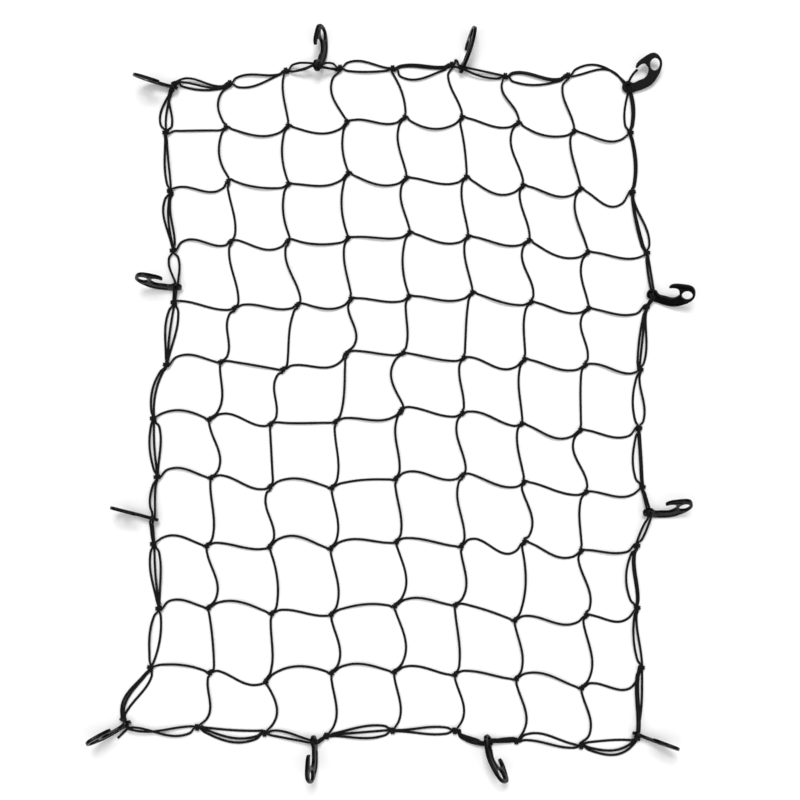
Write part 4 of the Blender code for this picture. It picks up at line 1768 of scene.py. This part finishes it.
class ShaderSheet:
    """A material's node tree while it is laid out.

    Args:
        name: the material's name.
    """

    def __init__(self, name: str) -> None:
        """Make the material with an empty tree and its shader.

        Args:
            name: the material's name.
        """
        self.material = bpy.data.materials.new(name)
        self.material.use_nodes = True
        self.tree = self.material.node_tree
        self.tree.nodes.clear()
        self.shader = self.node("ShaderNodeBsdfPrincipled")
        output = self.node("ShaderNodeOutputMaterial")
        self.join(self.shader.outputs["BSDF"], output.inputs["Surface"])

    def node(self, kind: str, **settings: object) -> bpy.types.Node:
        """Add a node with its settings."""
        return add_node(self.tree, kind, **settings)

    def join(self, source: Socket, target: Socket) -> None:
        """Link two sockets."""
        self.tree.links.new(source, target)

    def feed(self, target: Socket, value: object) -> None:
        """Give a socket another socket's value, or a value of its own.

        Args:
            target: the socket that is fed.
            value: the other socket, or the value.
        """
        if isinstance(value, Socket):
            self.join(value, target)
        else:
            target.default_value = value

    def math(self, operation: str, first: Socket | float, second: Socket | float = 0.0) -> Socket:
        """Add a sum of two sockets or numbers.

        Args:
            operation: the Math node's operation.
            first: a socket or number.
            second: a socket or number.

        Returns:
            The result's socket.
        """
        node = self.node("ShaderNodeMath", operation=operation)
        for target, value in zip(node.inputs, (first, second)):
            self.feed(target, value)
        return node.outputs["Value"]

    def noise(self, grain: Grain, vector: Socket) -> Socket:
        """Add a noise over a vector.

        Args:
            grain: how fine and how detailed it is.
            vector: the coordinates.

        Returns:
            Its strength, about a half on average.
        """
        noise = self.node("ShaderNodeTexNoise")
        noise.inputs["Scale"].default_value = grain.scale
        noise.inputs["Detail"].default_value = grain.detail
        self.join(vector, noise.inputs["Vector"])
        return noise.outputs["Fac"]

    def mix(self, kind: Blend, factor: Socket, low: object, high: object) -> Socket:
        """Blend two values or colours.

        Args:
            kind: what is blended.
            factor: 0 for the first, 1 for the second.
            low: the first, a socket or a value of its own.
            high: the second.

        Returns:
            The result's socket.
        """
        mix = self.node("ShaderNodeMix", data_type=kind.name)
        self.join(factor, mix.inputs["Factor"])
        first, second, result = kind.value
        self.feed(mix.inputs[first], low)
        self.feed(mix.inputs[second], high)
        return mix.outputs[result]

    def between(self, value: Socket, low: float, high: float) -> Socket:
        """Turn a value from 0 to 1 into one from low to high.

        Args:
            value: the value's socket.
            low: what 0 becomes.
            high: what 1 becomes.

        Returns:
            The result's socket.
        """
        spread = self.node("ShaderNodeMapRange")
        self.join(value, spread.inputs["Value"])
        spread.inputs["To Min"].default_value = low
        spread.inputs["To Max"].default_value = high
        return spread.outputs["Result"]

    def bump(self, height: Socket, depth: float) -> None:
        """Raise the surface by a height of so many metres.

        Args:
            height: the height's socket, from 0 to 1.
            depth: how far 1 is raised, in metres.
        """
        bump = self.node("ShaderNodeBump")
        bump.inputs["Distance"].default_value = depth
        self.join(height, bump.inputs["Height"])
        self.join(bump.outputs["Normal"], self.shader.inputs["Normal"])


@dataclass(frozen=True)
class BraidedCord:
    """Black braided polyester over an elastic core: eight yarns each way round the cord.

    Args:
        groove_shade: painted shade between the yarns, the colour that the dips between them are darkened to.
        yarn: colour of the yarns' tops.
        worn: colour of the yarns where they are rubbed.
        yarns: yarns each way round the cord.
        repeat: length along the cord of one yarn's width, in metres.
        crown: how flat each yarn is along its own length before it dips under, 0 for quite flat.
        depth: how deep the braid is, in metres.
        fibres: the yarns' fibres.
        fibre_tone: how much darker and lighter the fibres make the yarns.
        fibre_depth: how deep the fibres are as a share of the braid's depth.
        rubs: the rubbed stretches.
        rub_reach: how worn the cord is where it is rubbed least and most.
        roughness: the least and the most.
        specular: strength of the yarns' gloss.
        sheen: strength of the fibres' sheen.
        sheen_roughness: its roughness.
    """

    groove_shade: Colour = (0.0012, 0.0012, 0.0013, 1.0)
    yarn: Colour = (0.0035, 0.0035, 0.0037, 1.0)
    worn: Colour = (0.009, 0.009, 0.0094, 1.0)
    yarns: float = 8.0
    repeat: float = 0.0016
    crown: float = 0.4
    depth: float = 0.00022
    fibres: Grain = Grain(5200.0, 2.0)
    fibre_tone: Pair = (0.7, 1.3)
    fibre_depth: float = 0.25
    rubs: Grain = Grain(38.0, 3.0)
    rub_reach: Pair = (-0.9, 1.5)
    roughness: Pair = (0.52, 0.68)
    specular: float = 0.15
    sheen: float = 0.03
    sheen_roughness: float = 0.5

    def material(self) -> Material:
        """Lay out the material.

        Returns:
            The finish, which reads the cord's own lay attribute.
        """
        sheet = ShaderSheet("braided_cord")
        lay = sheet.node("ShaderNodeAttribute", attribute_name=CordSweep.LAY)
        split = sheet.node("ShaderNodeSeparateXYZ")
        sheet.join(lay.outputs["Vector"], split.inputs["Vector"])
        turn = sheet.math("ARCTAN2", split.outputs["Y"], split.outputs["X"])
        around = sheet.math("MULTIPLY", turn, self.yarns / math.tau)
        along = sheet.math("DIVIDE", split.outputs["Z"], self.repeat)
        right_yarn = sheet.math("ADD", around, along)
        left_yarn = sheet.math("SUBTRACT", around, along)
        right_top = self.top_of(sheet, right_yarn)
        left_top = self.top_of(sheet, left_yarn)
        cell = sheet.math("ADD", sheet.math("FLOOR", right_yarn), sheet.math("FLOOR", left_yarn))
        right_over = sheet.math("PINGPONG", cell, 1.0)
        across = sheet.mix(Blend.FLOAT, right_over, left_top, right_top)
        lengthwise = sheet.mix(Blend.FLOAT, right_over, right_top, left_top)
        height = sheet.math("MULTIPLY", across, sheet.math("POWER", lengthwise, self.crown))
        place = sheet.node("ShaderNodeTexCoord").outputs["Object"]
        fibres = sheet.noise(self.fibres, place)
        rubbed = sheet.between(sheet.noise(self.rubs, place), *self.rub_reach)
        # The braid's height both raises the bump and paints shade: the colour runs from the painted groove
        # shade in the dips up to the yarns' tops, varied by the fibres' own tone.
        tone = sheet.math("MULTIPLY", height, sheet.between(fibres, *self.fibre_tone))
        yarn = sheet.mix(Blend.RGBA, tone, self.groove_shade, self.yarn)
        worn = sheet.mix(Blend.RGBA, sheet.math("MULTIPLY", tone, rubbed), yarn, self.worn)
        sheet.join(worn, sheet.shader.inputs["Base Color"])
        sheet.join(sheet.between(fibres, *self.roughness), sheet.shader.inputs["Roughness"])
        sheet.shader.inputs["Specular IOR Level"].default_value = self.specular
        sheet.shader.inputs["Sheen Weight"].default_value = self.sheen
        sheet.shader.inputs["Sheen Roughness"].default_value = self.sheen_roughness
        relief = sheet.math("MULTIPLY", fibres, self.fibre_depth)
        sheet.bump(sheet.math("ADD", height, relief), self.depth)
        return sheet.material

    def top_of(self, sheet: ShaderSheet, yarns: Socket) -> Socket:
        """How near the top of its own width a place on a yarn is, from yarns counted across them."""
        return sheet.math("SINE", sheet.math("MULTIPLY", sheet.math("FRACT", yarns), math.pi))


@dataclass(frozen=True)
class MouldedPlastic:
    """Black satin moulded plastic with a fine grain and light handling marks.

    Args:
        base: its colour.
        rubbed: its colour where it is rubbed.
        roughness: the least and the most.
        specular: strength of its gloss.
        depth: how deep the mould's grain is, in metres.
        grain: the mould's grain.
        flow: the slow change of tone over the moulding.
        scuffs: the marks of handling.
        scuff_stretch: how much finer the scuffs are each way.
        scuff_share: how much of the change in gloss the scuffs make, with the flow for the rest.
        scuff_depth: how deep the scuffs are as a share of the grain's depth.
    """

    base: Colour = (0.001, 0.001, 0.0011, 1.0)
    rubbed: Colour = (0.0022, 0.0022, 0.0024, 1.0)
    roughness: Pair = (0.2, 0.32)
    specular: float = 0.12
    depth: float = 0.00004
    grain: Grain = Grain(2600.0, 2.0)
    flow: Grain = Grain(90.0, 4.0)
    scuffs: Grain = Grain(160.0, 6.0)
    scuff_stretch: Place = (1.0, 7.0, 3.0)
    scuff_share: float = 0.5
    scuff_depth: float = 0.6

    def material(self) -> Material:
        """Lay out the material.

        Returns:
            The finish, which reads Object coordinates.
        """
        sheet = ShaderSheet("moulded_hook_plastic")
        place = sheet.node("ShaderNodeTexCoord").outputs["Object"]
        grain = sheet.noise(self.grain, place)
        flow = sheet.noise(self.flow, place)
        stretch = sheet.node("ShaderNodeMapping")
        stretch.inputs["Scale"].default_value = self.scuff_stretch
        sheet.join(place, stretch.inputs["Vector"])
        scuffs = sheet.noise(self.scuffs, stretch.outputs["Vector"])
        colour = sheet.mix(Blend.RGBA, flow, self.base, self.rubbed)
        sheet.join(colour, sheet.shader.inputs["Base Color"])
        smooth = sheet.math("MULTIPLY", flow, 1 - self.scuff_share)
        marks = sheet.math("ADD", smooth, sheet.math("MULTIPLY", scuffs, self.scuff_share))
        sheet.join(sheet.between(marks, *self.roughness), sheet.shader.inputs["Roughness"])
        sheet.shader.inputs["Specular IOR Level"].default_value = self.specular
        sheet.bump(sheet.math("ADD", grain, sheet.math("MULTIPLY", scuffs, self.scuff_depth)), self.depth)
        return sheet.material


@dataclass(frozen=True)
class PaleFloor:
    """The plain pale floor that the net lies on.

    Args:
        half_side: half the side of the floor, in metres.
        tone: its colour.
        roughness: how dull it is.
        specular: strength of its gloss.
    """

    half_side: float = 6.0
    tone: Colour = (0.95, 0.95, 0.95, 1.0)
    roughness: float = 0.9
    specular: float = 0.1

    def build(self) -> Object:
        """The floor that the net lies on.

        Returns:
            The floor's object.
        """
        sheet = ShaderSheet("pale_floor")
        sheet.shader.inputs["Base Color"].default_value = self.tone
        sheet.shader.inputs["Roughness"].default_value = self.roughness
        sheet.shader.inputs["Specular IOR Level"].default_value = self.specular
        half = self.half_side
        corners = [(-half, -half, 0), (half, -half, 0), (half, half, 0), (-half, half, 0)]
        mesh = bpy.data.meshes.new("floor")
        mesh.from_pydata(corners, [], [tuple(range(len(corners)))])
        mesh.materials.append(sheet.material)
        floor = link_object("floor", mesh)
        return floor


@dataclass(frozen=True)
class SoftLamp:
    """A wide soft light far off.

    Args:
        toward: the way from the net to it as seen from above, in degrees from +X.
        height: its height above the horizon, in degrees.
        spread: how wide it looks from the net, in degrees.
        strength: its strength.
    """

    toward: float
    height: float
    spread: float
    strength: float

    def build(self, name: str) -> Object:
        """Hang the light.

        Args:
            name: the lamp's name.

        Returns:
            The lamp's object.
        """
        lamp = bpy.data.lights.new(name, "SUN")
        lamp.energy = self.strength
        lamp.angle = math.radians(self.spread)
        light = link_object(name, lamp)
        light.rotation_euler = (0, math.radians(90 - self.height), math.radians(self.toward))
        return light


@dataclass(frozen=True)
class Studio:
    """The soft studio light and the camera at the photograph's angle.

    Args:
        surround: strength of the light from all round.
        backdrop: how pale the surround looks where the floor ends.
        lamps: the soft lights, the main one from the top of the net.
        tilt: how far the camera leans from straight down, towards the net's lower edge, in degrees.
        distance: from the camera to the point it looks at, in metres.
        focal_length: of the lens, in millimetres.
        sensor: its width, in millimetres.
        aim: the point it looks at, in metres.
    """

    surround: float = 0.17
    backdrop: float = 0.95
    lamps: tuple[SoftLamp, ...] = (
        SoftLamp(toward=95, height=66, spread=24, strength=1.75),
        SoftLamp(toward=205, height=58, spread=50, strength=0.75),
        SoftLamp(toward=-25, height=58, spread=50, strength=0.75),
        SoftLamp(toward=-95, height=62, spread=60, strength=0.2),
    )
    tilt: float = 7.0
    distance: float = 2.05
    focal_length: float = 74.7
    sensor: float = 36.0
    aim: Place = (0.00502, -0.00612, 0.0)

    def light(self) -> None:
        """Set up the surround and the lamps."""
        world = bpy.data.worlds.new("studio")
        world.use_nodes = True
        background = world.node_tree.nodes["Background"]
        background.inputs["Color"].default_value = (1, 1, 1, 1)
        seen = world.node_tree.nodes.new("ShaderNodeLightPath")
        strength = world.node_tree.nodes.new("ShaderNodeMapRange")
        strength.inputs["To Min"].default_value = self.surround
        strength.inputs["To Max"].default_value = self.backdrop
        world.node_tree.links.new(seen.outputs["Is Camera Ray"], strength.inputs["Value"])
        world.node_tree.links.new(strength.outputs["Result"], background.inputs["Strength"])
        bpy.context.scene.world = world
        for number, lamp in enumerate(self.lamps, start=1):
            lamp.build(f"soft_lamp_{number}")
        bpy.context.scene.view_settings.view_transform = "Standard"

    def camera(self) -> Object:
        """The camera over the net, leaning towards its lower edge.

        Returns:
            The camera's object, set as the scene's own.
        """
        lens = bpy.data.cameras.new("camera")
        lens.lens = self.focal_length
        lens.sensor_width = self.sensor
        camera = link_object("camera", lens)
        lean = math.radians(self.tilt)
        camera.location = Vector(self.aim) + Vector((0, -math.sin(lean), math.cos(lean))) * self.distance
        camera.rotation_euler = (lean, 0, 0)
        bpy.context.scene.camera = camera
        return camera


@dataclass
class CargoNet:
    """The whole net: its cords tied together, and its hooks.

    Args:
        routes: the cords' ways.
        hook: the hook's sizes.
        cord_finish: the cords' finish.
        hook_finish: the hooks' finish.
    """

    routes: CordRoutes
    hook: MouldedHook
    cord_finish: BraidedCord
    hook_finish: MouldedPlastic

    def build_cords(self) -> None:
        """Sweep every cord and let it stand for its packed one."""
        sweep = CordSweep()
        finish = self.cord_finish.material()
        layout = self.routes.layout
        for row in range(1, layout.last_row):
            path = self.routes.crosswise_cord(row)
            piece = sweep.build(f"crosswise_cord_{row:02d}", path, finish)
            self.hand_over(piece, "cord", f"cross_{row:02d}")
        for column in range(1, layout.last_column):
            path = self.routes.lengthwise_cord(column)
            piece = sweep.build(f"lengthwise_cord_{column}", path, finish)
            self.hand_over(piece, "cord", f"length_{column}")
        for cord in (BorderCord.EDGE, BorderCord.PERIMETER):
            word = cord.name.lower()
            piece = sweep.build(f"{word}_cord", self.routes.border_loop(cord), finish)
            self.hand_over(piece, "cord", *(f"{word}_{side.value}" for side in Side))
        for name, places in TAILS.items():
            tail = sweep.build("cord_" + name, self.routes.tail(places), finish)
            self.hand_over(tail, "cord", name)

    def build_hooks(self) -> None:
        """Make every hook where it lies and let it stand for its packed one."""
        finish = self.hook_finish.material()
        solid = self.hook.solid()
        for name in HOOKS:
            self.hand_over(self.hook.build(name, solid, finish), "hook_plastic", name)

    def hand_over(self, piece: Object, slot: str, *nodes: str) -> None:
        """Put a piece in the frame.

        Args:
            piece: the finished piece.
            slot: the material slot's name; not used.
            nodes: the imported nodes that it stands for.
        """
        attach(piece, "root")
        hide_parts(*nodes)
        LOG.info("%s: %d faces, stands for %s", piece.name, len(piece.data.polygons), ", ".join(nodes))


def main() -> None:
    """Build the stage, the net's cords and its hooks."""
    logging.basicConfig(level=logging.INFO, format="%(name)s: %(message)s")
    studio = Studio()
    studio.camera()
    studio.light()
    PaleFloor().build()
    net = CargoNet(CordRoutes(), MouldedHook(), BraidedCord(), MouldedPlastic())
    net.build_cords()
    net.build_hooks()


if __name__ == "__main__":
    main()
